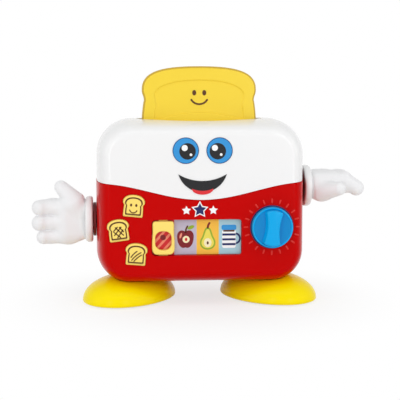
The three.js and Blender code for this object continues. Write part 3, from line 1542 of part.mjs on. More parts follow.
function addToastLift() {
  addPiece('toast_slice', toastSlice(), toastPlastic);
  addPiece('toast_carriage', toastCarriage(), greyPlastic);
  addPiece('toast_well', toastWell(), handPlastic);
  for (const [side, x] of [['left', -rodX], ['right', rodX]]) {
    addPiece(`${side}_guide_rod`, guideRod(x), steel);
    addPiece(`${side}_return_spring`, returnSpring(x), steel);
  }
}

function addArms() {
  const hand = handSolid();
  const cuff = cuffSolid();
  const thumbForward = new THREE.Matrix4().makeRotationX(Math.PI / 2);
  const mirror = new THREE.Matrix4().makeScale(-1, 1, 1);
  const placed = (solid, turn, x, z) => {
    const matrix = new THREE.Matrix4().makeTranslation(x, 0, z).multiply(turn);
    return moved(solid, matrix);
  };
  addPiece('left_hand', placed(hand, mirror, -handStartX, leftArmZ), handPlastic);
  addPiece('left_cuff', placed(cuff, mirror, -cuffStartX, leftArmZ), whitePlastic);
  addPiece('right_hand', placed(hand, thumbForward, handStartX, leverShaftZ), handPlastic);
  addPiece('right_cuff', placed(cuff, thumbForward, cuffStartX, leverShaftZ), whitePlastic);
  const leftDisc = shoulderDisc(shoulderFaceX, halfCase - redStepIn + touchGap);
  const rightDisc = shoulderDisc(shoulderFaceX, halfCase + touchGap);
  const plain = new THREE.Matrix4();
  addPiece('left_shoulder_disc', placed(leftDisc, mirror, 0, leftArmZ), darkRedPlastic);
  addPiece('right_shoulder_disc', placed(rightDisc, plain, 0, leverShaftZ), darkRedPlastic);
  const leftStart = sideWallInnerX - slideGap - touchGap - armFlangeLength;
  const rightStart = leverBlockX + caseWall + touchGap;
  addPiece('left_arm_shaft', placed(armShaft(leftStart, true), mirror, 0, leftArmZ), greyPlastic);
  addPiece('lever_shaft', placed(armShaft(rightStart, false), plain, 0, leverShaftZ), greyPlastic);
}

function addFeet() {
  const foot = footSolid();
  const mirror = new THREE.Matrix4().makeScale(-1, 1, 1);
  addPiece('left_foot', moved(foot, mirror), yellowPlastic);
  addPiece('right_foot', foot, yellowPlastic);
  addPiece('left_foot_screw', footScrew(-footScrewX), steel);
  addPiece('right_foot_screw', footScrew(footScrewX), steel);
}

function addPlayPanel() {
  addPiece('picture_slider', pictureSlider(), breadPlastic);
  addPiece('picture_tray', pictureTray(), redPlastic);
  addPiece('picture_strip', pictureStrip(), handPlastic);
  addPiece('slider_bridge', sliderBridge(), blackPlastic);
  addPiece('slider_board', sliderBoard(), boardMaterial);
  for (const button of buttons) addPiece(button.name, panelButton(button), breadPlastic);
  addPiece('button_membrane', buttonMembrane(), rubberMaterial);
  addPiece('button_board', buttonBoard(), boardMaterial);
  addPiece('timer_knob', timerKnob(), bluePlastic);
  addPiece('knob_detent_wheel', detentWheel(), greyPlastic);
  const headY = detentY + detentThickness + touchGap;
  const length = headY - knobBaseY;
  addPiece('knob_screw', screwAlongY(knobX, knobZ, headY, length), steel);
  addPiece('knob_detent_spring', detentLeaf(), steel);
}

function addElectrics() {
  addPiece('battery_box', batteryBox(), blackPlastic);
  for (let k = 0; k < cellCount; k += 1) addPiece(`battery_cell_${k + 1}`, batteryCell(k), cellMaterial);
  addPiece('left_battery_contact', batteryContact(-1), steel);
  addPiece('right_battery_contact', batteryContact(1), steel);
  addPiece('battery_door', batteryDoor(), redPlastic);
  addPiece('battery_door_screw', batteryDoorScrew(), steel);
  addPiece('speaker', speakerUnit(), blackPlastic);
  addPiece('main_board', mainBoard(), boardMaterial);
  addPiece('power_slider', powerSlider(), blackPlastic);
  addPiece('battery_wire', batteryWire(), wireMaterial);
  addPiece('speaker_wire', speakerWire(), wireMaterial);
}

addCasing();
addLabels();
addToastLift();
addArms();
addFeet();
addPlayPanel();
addElectrics();

// Put the origin in the middle of the footprint, on the table.
const extent = new THREE.Box3().setFromObject(toaster);
toaster.position.set(-(extent.min.x + extent.max.x) / 2, -(extent.min.y + extent.max.y) / 2, -extent.min.z);
toaster.updateMatrixWorld(true);

export default toaster;
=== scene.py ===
"""A toy toaster on two feet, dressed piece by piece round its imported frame.

Sizes are in millimetres in the toaster's own frame, whose y = 0 is the middle of the casing.
Bench.place turns them into the frame's metres.
"""

from __future__ import annotations

import logging
import math
from dataclasses import dataclass, field
from enum import Enum
from functools import cache
from typing import Any, Iterable, Sequence

import bpy
import numpy as np
from mathutils import Matrix, Vector


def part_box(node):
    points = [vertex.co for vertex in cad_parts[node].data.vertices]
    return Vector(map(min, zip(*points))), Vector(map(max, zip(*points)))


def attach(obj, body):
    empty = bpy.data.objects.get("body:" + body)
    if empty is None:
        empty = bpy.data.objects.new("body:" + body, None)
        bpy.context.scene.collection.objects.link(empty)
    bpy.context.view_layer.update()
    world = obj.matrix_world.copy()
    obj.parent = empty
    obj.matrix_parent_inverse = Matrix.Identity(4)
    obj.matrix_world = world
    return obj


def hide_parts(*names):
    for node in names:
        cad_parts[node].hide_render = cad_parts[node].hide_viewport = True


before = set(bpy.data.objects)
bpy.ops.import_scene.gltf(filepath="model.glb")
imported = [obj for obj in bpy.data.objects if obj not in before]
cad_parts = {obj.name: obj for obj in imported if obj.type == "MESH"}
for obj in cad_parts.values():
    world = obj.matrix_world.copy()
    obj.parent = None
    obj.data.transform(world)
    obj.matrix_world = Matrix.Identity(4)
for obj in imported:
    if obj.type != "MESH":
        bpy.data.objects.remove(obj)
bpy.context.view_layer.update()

LOG = logging.getLogger("toaster")
MILLIMETRE = 0.001
Point = tuple[float, float, float]
Ring = np.ndarray
Pair = tuple[float, float]
Socket = bpy.types.NodeSocket
Thing = bpy.types.Object
Tree = bpy.types.NodeTree

toast_low, toast_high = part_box("toast_slice")
MIDDLE_Y = ((toast_low + toast_high) / 2).y / MILLIMETRE


def box_of(node: str) -> tuple[np.ndarray, np.ndarray]:
    """Give a node's box in the toaster's own millimetres.

    Args:
        node: The node's name.

    Returns:
        Its lowest and its highest corner.
    """
    shift = np.array([0, MIDDLE_Y, 0])
    low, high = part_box(node)
    return np.array(low) / MILLIMETRE - shift, np.array(high) / MILLIMETRE - shift


def linked(name: str, data: Any) -> Thing:
    """Make an object in the scene.

    Args:
        name: The object's name.
        data: Its mesh, lamp or camera.

    Returns:
        The object.
    """
    made = bpy.data.objects.new(name, data)
    bpy.context.scene.collection.objects.link(made)
    return made


class Look(Enum):
    """The kinds of surface, each with its shader group's name."""

    MOULDED = "moulded_plastic"
    METAL = "brushed_metal"
    BANDED = "banded_surface"


def linear(colour: Sequence[float]) -> tuple[float, float, float, float]:
    """Turn a screen colour into a linear one.

    Args:
        colour: Red, green and blue from 0 to 255.

    Returns:
        The linear colour with full alpha.
    """
    parts = []
    for value in colour:
        share = value / 255
        parts.append(share / 12.92 if share <= 0.04045 else ((share + 0.055) / 1.055) ** 2.4)
    return (parts[0], parts[1], parts[2], 1.0)


class Graph:
    """A node tree with short calls for its nodes, links and sockets."""

    def __init__(self, tree: Tree) -> None:
        """Hold the tree that the calls add to."""
        self.tree = tree

    def node(self, kind: str, settings: dict[str, Any] | None = None, **values: Any) -> bpy.types.Node:
        """Add a node.

        Args:
            kind: Blender's name for the node type.
            settings: The node's own properties.
            **values: Input sockets by name, with underscores for spaces.

        Returns:
            The node.
        """
        made = self.tree.nodes.new(kind)
        for key, value in (settings or {}).items():
            setattr(made, key, value)
        for key, value in values.items():
            self.feed(made.inputs[key.replace("_", " ")], value)
        return made

    def feed(self, socket: Socket, value: Any) -> None:
        """Link an output to a socket, or set the socket's value.

        Args:
            socket: The input socket.
            value: An output, or a plain value.
        """
        if isinstance(value, Socket):
            self.tree.links.new(value, socket)
        else:
            socket.default_value = value

    def math(self, operation: str, first: Any, second: Any) -> Socket:
        """Join two values with a Math node.

        Args:
            operation: The Math node's operation.
            first: The first value or output.
            second: The second value or output.

        Returns:
            The result's output.
        """
        made = self.node("ShaderNodeMath", {"operation": operation})
        self.feed(made.inputs[0], first)
        self.feed(made.inputs[1], second)
        return made.outputs[0]


class SurfaceGroups:
    """Shader node groups that several finishes use, each built once."""

    @classmethod
    @cache
    def of(cls, look: Look) -> Tree:
        """Build the group for a kind of surface.

        Args:
            look: The kind of surface.

        Returns:
            The node group, which puts out Color, Roughness and Height.
        """
        tree = bpy.data.node_groups.new(look.value, "ShaderNodeTree")
        for way, kind, labels in (("INPUT", "NodeSocketColor", ("Color", "Shade")),
                                  ("INPUT", "NodeSocketFloat", ("Drift", "Roughness", "Rub", "Grain Scale")),
                                  ("OUTPUT", "NodeSocketColor", ("Color",)),
                                  ("OUTPUT", "NodeSocketFloat", ("Roughness", "Height"))):
            for label in labels:
                tree.interface.new_socket(label, in_out=way, socket_type=kind)
        graph = Graph(tree)
        given, put = graph.node("NodeGroupInput").outputs, graph.node("NodeGroupOutput").inputs
        place = graph.node("ShaderNodeTexCoord").outputs["Object"]
        tint, wear, height = cls.marks(look, graph, place, given["Grain Scale"])
        amount = graph.math("MULTIPLY", tint, given["Drift"])
        spread = graph.math("MULTIPLY", wear, given["Rub"])
        mixed = graph.node("ShaderNodeMix", {"data_type": "RGBA"})
        for number, value in ((0, amount), (6, given["Color"]), (7, given["Shade"])):
            graph.feed(mixed.inputs[number], value)
        graph.feed(put["Color"], mixed.outputs[2])
        graph.feed(put["Roughness"], graph.math("ADD", given["Roughness"], spread))
        graph.feed(put["Height"], height)
        return tree

    @staticmethod
    def marks(look: Look, graph: Graph, place: Socket, scale: Socket) -> tuple[Socket, Socket, Socket]:
        """Make the marks of a kind of surface.

        Moulded plastic has flow marks, soft rubbed patches and fine orange peel. Drawn and turned
        metal has fine streaks along X and a light tarnish. Boards and cell wraps have wavy bands.

        Args:
            look: The kind of surface.
            graph: The group's tree.
            place: The place on the piece.
            scale: How fine the grain is.

        Returns:
            Masks of the second colour and of the rougher places, and the height.
        """
        if look is Look.MOULDED:
            flow = graph.node("ShaderNodeTexNoise", Vector=place, Scale=16.0, Detail=3.0, Distortion=0.8)
            rub = graph.node("ShaderNodeTexNoise", Vector=place, Scale=55.0, Detail=5.0)
            peel = graph.node("ShaderNodeTexNoise", Vector=place, Scale=scale, Detail=2.0)
            return flow.outputs["Fac"], graph.math("SUBTRACT", rub.outputs["Fac"], 0.5), peel.outputs["Fac"]
        if look is Look.METAL:
            stretched = graph.node("ShaderNodeMapping", Vector=place, Scale=(0.08, 1.0, 1.0)).outputs[0]
            streak = graph.node("ShaderNodeTexNoise", Vector=stretched, Scale=scale, Detail=4.0)
            stain = graph.node("ShaderNodeTexNoise", Vector=place, Scale=120.0, Detail=4.0)
            return stain.outputs["Fac"], streak.outputs["Fac"], streak.outputs["Fac"]
        bands = graph.node("ShaderNodeTexWave", {"bands_direction": "X"}, Vector=place, Scale=scale,
                           Distortion=6.0, Detail=3.0)
        sharp = graph.math("GREATER_THAN", bands.outputs["Fac"], 0.72)
        return sharp, bands.outputs["Fac"], sharp


@dataclass(frozen=True)
class Finish:
    """A surface finish: a shader group with this finish's colours and values."""

    name: str
    slot: str
    colour: tuple[float, float, float]
    shade: tuple[float, float, float]
    roughness: float = 0.3
    look: Look = Look.MOULDED
    rub: float = 0.08
    drift: float = 0.35
    grain_scale: float = 900.0
    grain_depth: float = 0.05
    grain_height: float = 0.2
    coat: float = 0.0
    coat_roughness: float = 0.06
    specular: float = 0.35

    def material(self) -> bpy.types.Material:
        """Build the material, or give it again.

        Returns:
            The material.
        """
        kept = bpy.data.materials.get(self.name)
        if kept:
            return kept
        made = bpy.data.materials.new(self.name)
        made.use_nodes = True
        graph = Graph(made.node_tree)
        surface = graph.node("ShaderNodeGroup", {"node_tree": SurfaceGroups.of(self.look)},
                             Color=linear(self.colour), Shade=linear(self.shade), Drift=self.drift,
                             Roughness=self.roughness, Rub=self.rub, Grain_Scale=self.grain_scale)
        bump = graph.node("ShaderNodeBump", Strength=self.grain_depth,
                          Distance=self.grain_height * MILLIMETRE, Height=surface.outputs["Height"])
        inputs = {"Base Color": surface.outputs["Color"], "Roughness": surface.outputs["Roughness"],
                  "Normal": bump.outputs["Normal"], "Metallic": 1.0 if self.look is Look.METAL else 0.0,
                  "Specular IOR Level": self.specular, "Coat Weight": self.coat,
                  "Coat Roughness": self.coat_roughness}
        for label, value in inputs.items():
            graph.feed(made.node_tree.nodes["Principled BSDF"].inputs[label], value)
        return made


class Paint(Enum):
    """Every finish on the toaster, by what it is on."""

    WHITE = Finish("gloss_white_plastic", "white_plastic", (244, 244, 244), (238, 239, 240), 0.22, coat=0.2)
    RED = Finish("gloss_red_plastic", "red_plastic", (200, 1, 0), (188, 0, 0), 0.2, specular=0.06)
    # Lighter copy of the casing's red for the raised dial marks: a painted highlight.
    RED_MARK = Finish("red_relief_plastic", "red_plastic", (222, 34, 22), (208, 18, 10), 0.3)
    # Darker copy of the casing's red for the discs between the cuffs and the casing: painted shade.
    DARK_RED = Finish("satin_dark_red_plastic", "dark_red_plastic", (120, 6, 6), (96, 3, 3), 0.42)
    TOAST = Finish("toast_yellow_plastic", "toast_plastic", (247, 216, 60), (241, 204, 46), 0.34,
                   grain_scale=420.0, grain_depth=0.12)
    # Darker yellow for the slice's rounded rim: painted shade.
    CRUST = Finish("toast_crust_plastic", "toast_plastic", (208, 172, 46), (198, 158, 36), 0.4,
                   grain_scale=420.0, grain_depth=0.15)
    FOOT = Finish("foot_yellow_plastic", "yellow_plastic", (255, 234, 0), (255, 222, 0), 0.26, specular=0.1)
    BREAD = Finish("bread_yellow_plastic", "bread_plastic", (255, 228, 118), (255, 216, 92), 0.34)
    BLUE = Finish("knob_blue_plastic", "blue_plastic", (0, 172, 238), (0, 162, 230), 0.26, specular=0.2)
    # Darker blue for the knob's sunk dish: painted shade in the recess.
    DEEP_BLUE = Finish("knob_dish_plastic", "blue_plastic", (0, 142, 208), (0, 132, 198), 0.3, specular=0.2)
    GLOVE = Finish("satin_white_plastic", "hand_plastic", (241, 241, 242), (233, 234, 236), 0.4,
                   grain_depth=0.08)
    GREY = Finish("grey_nylon", "grey_plastic", (150, 152, 156), (138, 140, 144), 0.45)
    BLACK = Finish("black_nylon", "black_plastic", (34, 35, 38), (26, 27, 29), 0.5, grain_depth=0.2)
    BOARD = Finish("circuit_green", "circuit_board", (38, 102, 54), (92, 150, 84), 0.5, Look.BANDED,
                   drift=0.6, grain_scale=26.0)
    STEEL = Finish("drawn_steel", "steel", (190, 194, 198), (150, 154, 160), 0.26, Look.METAL, rub=0.2,
                   grain_depth=0.15)
    WRAP = Finish("cell_wrapper", "cell_wrap", (196, 124, 40), (46, 46, 50), 0.3, Look.BANDED, drift=0.9,
                  grain_scale=9.0)
    RUBBER = Finish("key_sheet_rubber", "key_rubber", (200, 204, 208), (186, 190, 196), 0.7,
                    grain_depth=0.2)
    WIRE = Finish("wire_cover", "wire_cover", (176, 24, 22), (150, 16, 14), 0.5)
    INK_BLACK = Finish("black_ink", "dark_print", (18, 18, 22), (30, 30, 34), 0.28)
    INK_NAVY = Finish("navy_ink", "dark_print", (24, 34, 96), (18, 26, 78), 0.28)
    INK_BROWN = Finish("brown_ink", "dark_print", (92, 52, 10), (72, 38, 6), 0.35)
    INK_WHITE = Finish("white_ink", "picture_print", (250, 250, 250), (244, 244, 246), 0.28)
    INK_BLUE = Finish("blue_ink", "eye_print", (40, 150, 220), (28, 132, 206), 0.25, coat=0.3)
    INK_DEEP = Finish("deep_blue_ink", "eye_print", (24, 78, 132), (18, 66, 116), 0.25)
    INK_TONGUE = Finish("tongue_ink", "picture_print", (226, 44, 52), (210, 30, 40))
    INK_RED = Finish("red_ink", "picture_print", (214, 34, 44), (190, 20, 34))
    INK_PINK = Finish("pink_ink", "picture_print", (244, 150, 128), (236, 128, 108))
    INK_WINE = Finish("wine_ink", "picture_print", (128, 14, 26), (104, 8, 18))
    INK_LILAC = Finish("lilac_ink", "picture_print", (196, 188, 206), (182, 174, 196))
    INK_ORANGE = Finish("orange_ink", "picture_print", (250, 196, 70), (246, 178, 48))
    INK_SKY = Finish("sky_ink", "picture_print", (172, 212, 224), (152, 198, 214))
    INK_GREEN = Finish("green_ink", "picture_print", (150, 178, 46), (128, 160, 34))
    INK_CREAM = Finish("cream_ink", "picture_print", (250, 238, 196), (246, 230, 180))
    INK_YELLOW = Finish("yellow_ink", "picture_print", (238, 224, 92), (228, 210, 70))

    def material(self) -> bpy.types.Material:
        """Give this paint's material."""
        return self.value.material()


@dataclass
class Shape:
    """A closed surface in millimetres, with a paint number for each face."""

    points: np.ndarray
    faces: list[tuple[int, ...]]
    inks: list[int] = field(default_factory=list)

    def __post_init__(self) -> None:
        """Give each face a paint number and turn the faces outwards."""
        self.points = np.asarray(self.points, float).reshape(-1, 3)
        if not self.inks:
            self.inks = [0] * len(self.faces)
        if self.volume() < 0:
            self.faces = [tuple(reversed(face)) for face in self.faces]

    def volume(self) -> float:
        """Measure the signed volume.

        Returns:
            The volume, negative where the faces point inwards.
        """
        total = 0.0
        for face in self.faces:
            first = self.points[face[0]]
            for second, third in zip(face[1:-1], face[2:]):
                total += float(first @ np.cross(self.points[second], self.points[third]))
        return total / 6

    def moved(self, matrix: Matrix) -> Shape:
        """Give a copy that a matrix has moved, turned or mirrored.

        Args:
            matrix: A 4 by 4 matrix in millimetres.

        Returns:
            The moved shape.
        """
        array = np.array(matrix)
        points = self.points @ array[:3, :3].T + array[:3, 3]
        return Shape(points, list(self.faces), list(self.inks))

    @staticmethod
    def together(shapes: Iterable[Shape]) -> Shape:
        """Gather several shapes in one.

        Args:
            shapes: The shapes, which keep their own faces.

        Returns:
            One shape with all of them.
        """
        points, faces, inks, start = [], [], [], 0
        for shape in shapes:
            points.append(shape.points)
            faces += [tuple(index + start for index in face) for face in shape.faces]
            inks += shape.inks
            start += len(shape.points)
        return Shape(np.vstack(points), faces, inks)

    def scratch_object(self) -> Thing:
        """Make a passing object of the shape.

        Returns:
            The object, still in millimetres.
        """
        mesh = bpy.data.meshes.new("scratch")
        mesh.from_pydata(self.points.tolist(), [], self.faces)
        mesh.polygons.foreach_set("material_index", self.inks)
        return linked("scratch", mesh)

    @staticmethod
    def from_object(made: Thing) -> Shape:
        """Take the shape that an object's modifiers give, and remove the object.

        Args:
            made: A passing object.

        Returns:
            The evaluated shape.
        """
        graph = bpy.context.evaluated_depsgraph_get()
        mesh = bpy.data.meshes.new_from_object(made.evaluated_get(graph), depsgraph=graph)
        points = np.zeros(len(mesh.vertices) * 3)
        mesh.vertices.foreach_get("co", points)
        shape = Shape(points, [tuple(face.vertices) for face in mesh.polygons],
                      [face.material_index for face in mesh.polygons])
        bpy.data.objects.remove(made)
        bpy.data.meshes.remove(mesh)
        return shape

    def cut(self, *tools: Shape, operation: str = "DIFFERENCE") -> Shape:
        """Cut or trim this shape with others that don't touch each other.

        Args:
            *tools: The cutting shapes.
            operation: DIFFERENCE, INTERSECT or UNION.

        Returns:
            The cut shape.
        """
        made = self.scratch_object()
        tool = Shape.together(tools).scratch_object()
        modifier = made.modifiers.new("cut", "BOOLEAN")
        modifier.operation, modifier.solver, modifier.object = operation, "EXACT", tool
        result = Shape.from_object(made)
        bpy.data.objects.remove(tool)
        return result

    def softened(self, width: float, angle: float = 40.0, segments: int = 2) -> Shape:
        """Round the sharp edges.

        Args:
            width: The rounding's width.
            angle: Edges sharper than this many degrees are rounded.
            segments: Steps across the rounding.

        Returns:
            The rounded shape.
        """
        made = self.scratch_object()
        modifier = made.modifiers.new("soften", "BEVEL")
        modifier.width, modifier.segments = width, segments
        modifier.limit_method, modifier.angle_limit = "ANGLE", math.radians(angle)
        return Shape.from_object(made)


def loft(rings: Sequence[Ring], looped: bool = False, inks: Sequence[int] | None = None) -> Shape:
    """Skin a row of rings of equal point counts.

    Args:
        rings: Arrays of points, one for each ring.
        looped: Join the last ring to the first, rather than closing both ends.
        inks: A paint number for each band between rings, and for the two ends.

    Returns:
        The closed shape.
    """
    count = len(rings[0])
    bands = list(zip(range(len(rings)), range(1, len(rings))))
    if looped:
        bands.append((len(rings) - 1, 0))
    faces: list[tuple[int, ...]] = []
    marks: list[int] = []
    for number, (low, high) in enumerate(bands):
        for k in range(count):
            after = (k + 1) % count
            faces.append((low * count + k, low * count + after, high * count + after, high * count + k))
            marks.append(inks[number] if inks else 0)
    if not looped:
        faces.append(tuple(reversed(range(count))))
        faces.append(tuple(range((len(rings) - 1) * count, len(rings) * count)))
        marks += [inks[0], inks[-1]] if inks else [0, 0]
    return Shape(np.vstack(rings), faces, marks)


def turned(profile: Sequence[Pair], axis: str, centre: Point, sides: int = 96,
           looped: bool = False, inks: Sequence[int] | None = None) -> Shape:
    """Turn a profile round an axis.

    Args:
        profile: Pairs of radius and place along the axis.
        axis: X, Y or Z.
        centre: A point that the axis passes through.
        sides: Steps round the axis.
        looped: The profile closes on itself, round a bore.
        inks: A paint number for each band.

    Returns:
        The turned shape.
    """
    angles = np.linspace(0, 2 * math.pi, sides, endpoint=False)
    rings = []
    for radius, along in profile:
        across, over = radius * np.cos(angles), radius * np.sin(angles)
        level = np.full(sides, along)
        columns = {"X": (level, across, over), "Y": (across, level, over), "Z": (across, over, level)}[axis]
        rings.append(np.stack(columns, 1) + np.array(centre))
    return loft(rings, looped, inks)


def surface_of(values: np.ndarray, low: np.ndarray, step: float) -> Shape:
    """Skin the places where a field on a grid passes through zero.

    Args:
        values: The field, negative inside.
        low: The grid's first point.
        step: The grid's spacing.

    Returns:
        The closed surface, with one point in each crossed cell.
    """
    size = np.array(values.shape) - 1
    total, count = np.zeros((*size, 3)), np.zeros(size)

    def corner(offset: Sequence[int]) -> np.ndarray:
        """Give the field at one corner of every cell."""
        return values[tuple(slice(k, k + n) for k, n in zip(offset, size))]

    for axis in range(3):
        for pair in ((0, 0), (0, 1), (1, 0), (1, 1)):
            start = np.insert(np.array(pair), axis, 0)
            end = np.insert(np.array(pair), axis, 1)
            first, second = corner(start), corner(end)
            crossed = (first < 0) != (second < 0)
            share = np.where(crossed, first / np.where(crossed, first - second, 1), 0)
            total += crossed[..., None] * (start + share[..., None] * (end - start))
            count += crossed
    active = count > 0
    index = np.full(size, -1)
    index[active] = np.arange(active.sum())
    points = (np.argwhere(active) + total[active] / count[active][:, None]) * step + low
    faces: list[tuple[int, ...]] = []
    for axis in range(3):
        first, second = [k for k in range(3) if k != axis]
        span = [slice(1, -1)] * 3
        span[axis] = slice(0, -1)
        after = list(span)
        after[axis] = slice(1, None)
        here, there = values[tuple(span)], values[tuple(after)]
        places = np.argwhere((here < 0) != (there < 0))
        inward = (here < 0)[tuple(places.T)]
        base = places + [0 if k == axis else 1 for k in range(3)]
        ring = []
        for back in ((0, 0), (1, 0), (1, 1), (0, 1)):
            cell = base.copy()
            cell[:, first] -= back[0]
            cell[:, second] -= back[1]
            ring.append(index[tuple(cell.T)])
        quads = np.stack(ring, 1)
        flip = inward if axis != 1 else ~inward
        quads[flip] = quads[flip][:, ::-1]
        faces += [tuple(quad) for quad in quads.tolist()]
    return Shape(points, faces)


def melted(first: np.ndarray, second: np.ndarray, reach: float) -> np.ndarray:
    """Join two distance fields with a soft fillet of the given reach."""
    share = np.clip(0.5 + (second - first) / (2 * reach), 0, 1)
    return second + (first - second) * share - reach * share * (1 - share)


def soft_most(first: np.ndarray, second: np.ndarray, reach: float) -> np.ndarray:
    """Keep what two distance fields share, with the edge between them rounded."""
    return -melted(-first, -second, reach)


class Outline:
    """A closed outline in X and Z, drawn from point to point."""

    def __init__(self, x: float, z: float, steps: int = 14) -> None:
        """Start at a point, with so many steps to each curve."""
        self.points: list[Pair] = [(x, z)]
        self.steps = steps

    def line(self, x: float, z: float) -> Outline:
        """Draw a straight stretch to a point."""
        self.points.append((x, z))
        return self

    def curve(self, *handles: Pair) -> Outline:
        """Draw a smooth curve from the last point.

        Args:
            *handles: The curve's one or two handles, and then its end.

        Returns:
            This outline.
        """
        knots = np.array([self.points[-1], *handles])
        order = len(handles)
        for share in np.linspace(0, 1, self.steps + 1)[1:]:
            weights = [math.comb(order, k) * share ** k * (1 - share) ** (order - k)
                       for k in range(order + 1)]
            self.points.append(tuple(np.array(weights) @ knots))
        return self

    def arc(self, x: float, z: float, radius: float, start: float, end: float) -> Outline:
        """Draw an arc.

        Args:
            x: The centre's x.
            z: The centre's z.
            radius: The arc's radius.
            start: The angle that it starts at, in degrees.
            end: The angle that it ends at.

        Returns:
            This outline.
        """
        for angle in np.radians(np.linspace(start, end, self.steps + 1)):
            self.points.append((x + radius * math.cos(angle), z + radius * math.sin(angle)))
        return self

    def mirrored(self, x: float) -> Outline:
        """Draw the points so far once more, backwards and on the other side of a middle line."""
        self.points += [(2 * x - across, up) for across, up in self.points[::-1]]
        return self

    def closed(self) -> Ring:
        """Close the outline.

        Returns:
            Its points once each, anticlockwise as seen from the front.
        """
        near = 1e-4
        points = [self.points[0]]
        for point in self.points[1:]:
            if math.dist(point, points[-1]) > near:
                points.append(point)
        if math.dist(points[0], points[-1]) < near:
            points.pop()
        array = np.array(points)
        after = np.roll(array, -1, 0)
        area = float(np.sum(array[:, 0] * after[:, 1] - array[:, 1] * after[:, 0]))
        return array if area > 0 else array[::-1]


def inset(ring: Ring, distance: float) -> Ring:
    """Move an outline inwards, or outwards where the distance is negative.

    Args:
        ring: Anticlockwise points in X and Z.
        distance: How far each stretch moves.

    Returns:
        The moved points.
    """
    before = ring - np.roll(ring, 1, 0)
    after = np.roll(ring, -1, 0) - ring
    before /= np.linalg.norm(before, axis=1, keepdims=True)
    after /= np.linalg.norm(after, axis=1, keepdims=True)
    normal = np.stack([-(before + after)[:, 1], (before + after)[:, 0]], 1)
    normal /= np.linalg.norm(normal, axis=1, keepdims=True)
    lean = np.maximum(normal[:, 0] * -before[:, 1] + normal[:, 1] * before[:, 0], 0.5)
    return ring + normal * (distance / lean)[:, None]


def tilted(ring: Ring, centre: Pair, degrees: float) -> Ring:
    """Turn an outline anticlockwise.

    Args:
        ring: Points in X and Z.
        centre: The point that it turns round.
        degrees: How far it turns.

    Returns:
        The turned points.
    """
    angle = math.radians(degrees)
    turn = np.array([[math.cos(angle), math.sin(angle)], [-math.sin(angle), math.cos(angle)]])
    return (ring - centre) @ turn + centre


def at_depth(ring: Ring, y: float) -> Ring:
    """Put an outline's points at a depth."""
    return np.stack([ring[:, 0], np.full(len(ring), y), ring[:, 1]], 1)


def by_angle(ring: Ring, centre: Pair, count: int) -> Ring:
    """Take an outline's points again where rays from a centre meet it.

    Args:
        ring: Anticlockwise points in X and Z.
        centre: A point inside from which all of the outline is seen.
        count: How many rays.

    Returns:
        One point for each ray.
    """
    shares = np.linspace(0, 1, 24, endpoint=False)[None, :, None]
    offsets = (ring[:, None] + (np.roll(ring, -1, 0) - ring)[:, None] * shares).reshape(-1, 2) - centre
    angles = np.unwrap(np.arctan2(offsets[:, 1], offsets[:, 0]))
    reach = np.hypot(offsets[:, 0], offsets[:, 1])
    order = np.argsort(angles)
    angles, reach = angles[order], reach[order]
    angles = np.concatenate([angles - 2 * math.pi, angles, angles + 2 * math.pi])
    wanted = np.linspace(-math.pi, math.pi, count, endpoint=False)
    far = np.interp(wanted, angles, np.tile(reach, 3))
    return np.stack([far * np.cos(wanted), far * np.sin(wanted)], 1) + centre


def plate(ring: Ring, front: float, back: float, front_round: float = 0.0, back_round: float = 0.0,
          steps: int = 4) -> Shape:
    """Make a plate of an outline, with rounded rims.

    Args:
        ring: Anticlockwise points in X and Z.
        front: The front face's y.
        back: The back face's y.
        front_round: The front rim's radius.
        back_round: The back rim's radius.
        steps: Steps across each rounding.

    Returns:
        The plate.
    """
    rings = []
    for face, size, inward in ((front, front_round, 1), (back, back_round, -1)):
        angles = np.linspace(0, math.pi / 2, steps + 1) if size else np.array([math.pi / 2])
        side = [at_depth(inset(ring, size * (1 - math.sin(a))), face + inward * size * (1 - math.cos(a)))
                for a in angles]
        rings += side if inward > 0 else side[::-1]
    return loft(rings)


def stroke(points: Sequence[Pair], width: float) -> Ring:
    """Outline a pen stroke with round ends.

    Args:
        points: The stroke's middle line in X and Z.
        width: The pen's width.

    Returns:
        The stroke's outline.
    """
    line = np.array(points, float)
    along = np.gradient(line, axis=0)
    along /= np.linalg.norm(along, axis=1, keepdims=True)
    side = np.stack([-along[:, 1], along[:, 0]], 1) * width / 2
    outline = Outline(*(line[0] - side[0]), steps=6)
    ends = ((along[-1], line[-1], (line - side)[1:]), (-along[0], line[0], (line + side)[-2:0:-1]))
    for way, middle, back in ends:
        for point in back:
            outline.line(*point)
        heading = math.degrees(math.atan2(way[1], way[0]))
        outline.arc(*middle, width / 2, heading - 90, heading + 90)
    return outline.closed()


def disc(x: float, z: float, width: float, height: float | None = None, count: int = 40) -> Ring:
    """Outline a circle, or an ellipse where a height is given.

    Args:
        x: The middle's x.
        z: The middle's z.
        width: The whole width.
        height: The whole height, the same as the width where it is left out.
        count: How many points.

    Returns:
        The outline.
    """
    angles = np.linspace(0, 2 * math.pi, count, endpoint=False)
    tall = width if height is None else height
    return np.stack([x + width / 2 * np.cos(angles), z + tall / 2 * np.sin(angles)], 1)


def rounded_box(x: float, z: float, width: float, height: float, radius: float, steps: int = 8) -> Ring:
    """Outline a rectangle with round corners.

    Args:
        x: The middle's x.
        z: The middle's z.
        width: The whole width.
        height: The whole height.
        radius: The corners' radius.
        steps: Steps round each corner.

    Returns:
        The outline.
    """
    outline = Outline(x + width / 2, z, steps)
    for right, up, start in ((1, 1, 0), (-1, 1, 90), (-1, -1, 180), (1, -1, 270)):
        corner = (x + right * (width / 2 - radius), z + up * (height / 2 - radius))
        outline.arc(*corner, radius, start, start + 90)
    return outline.closed()


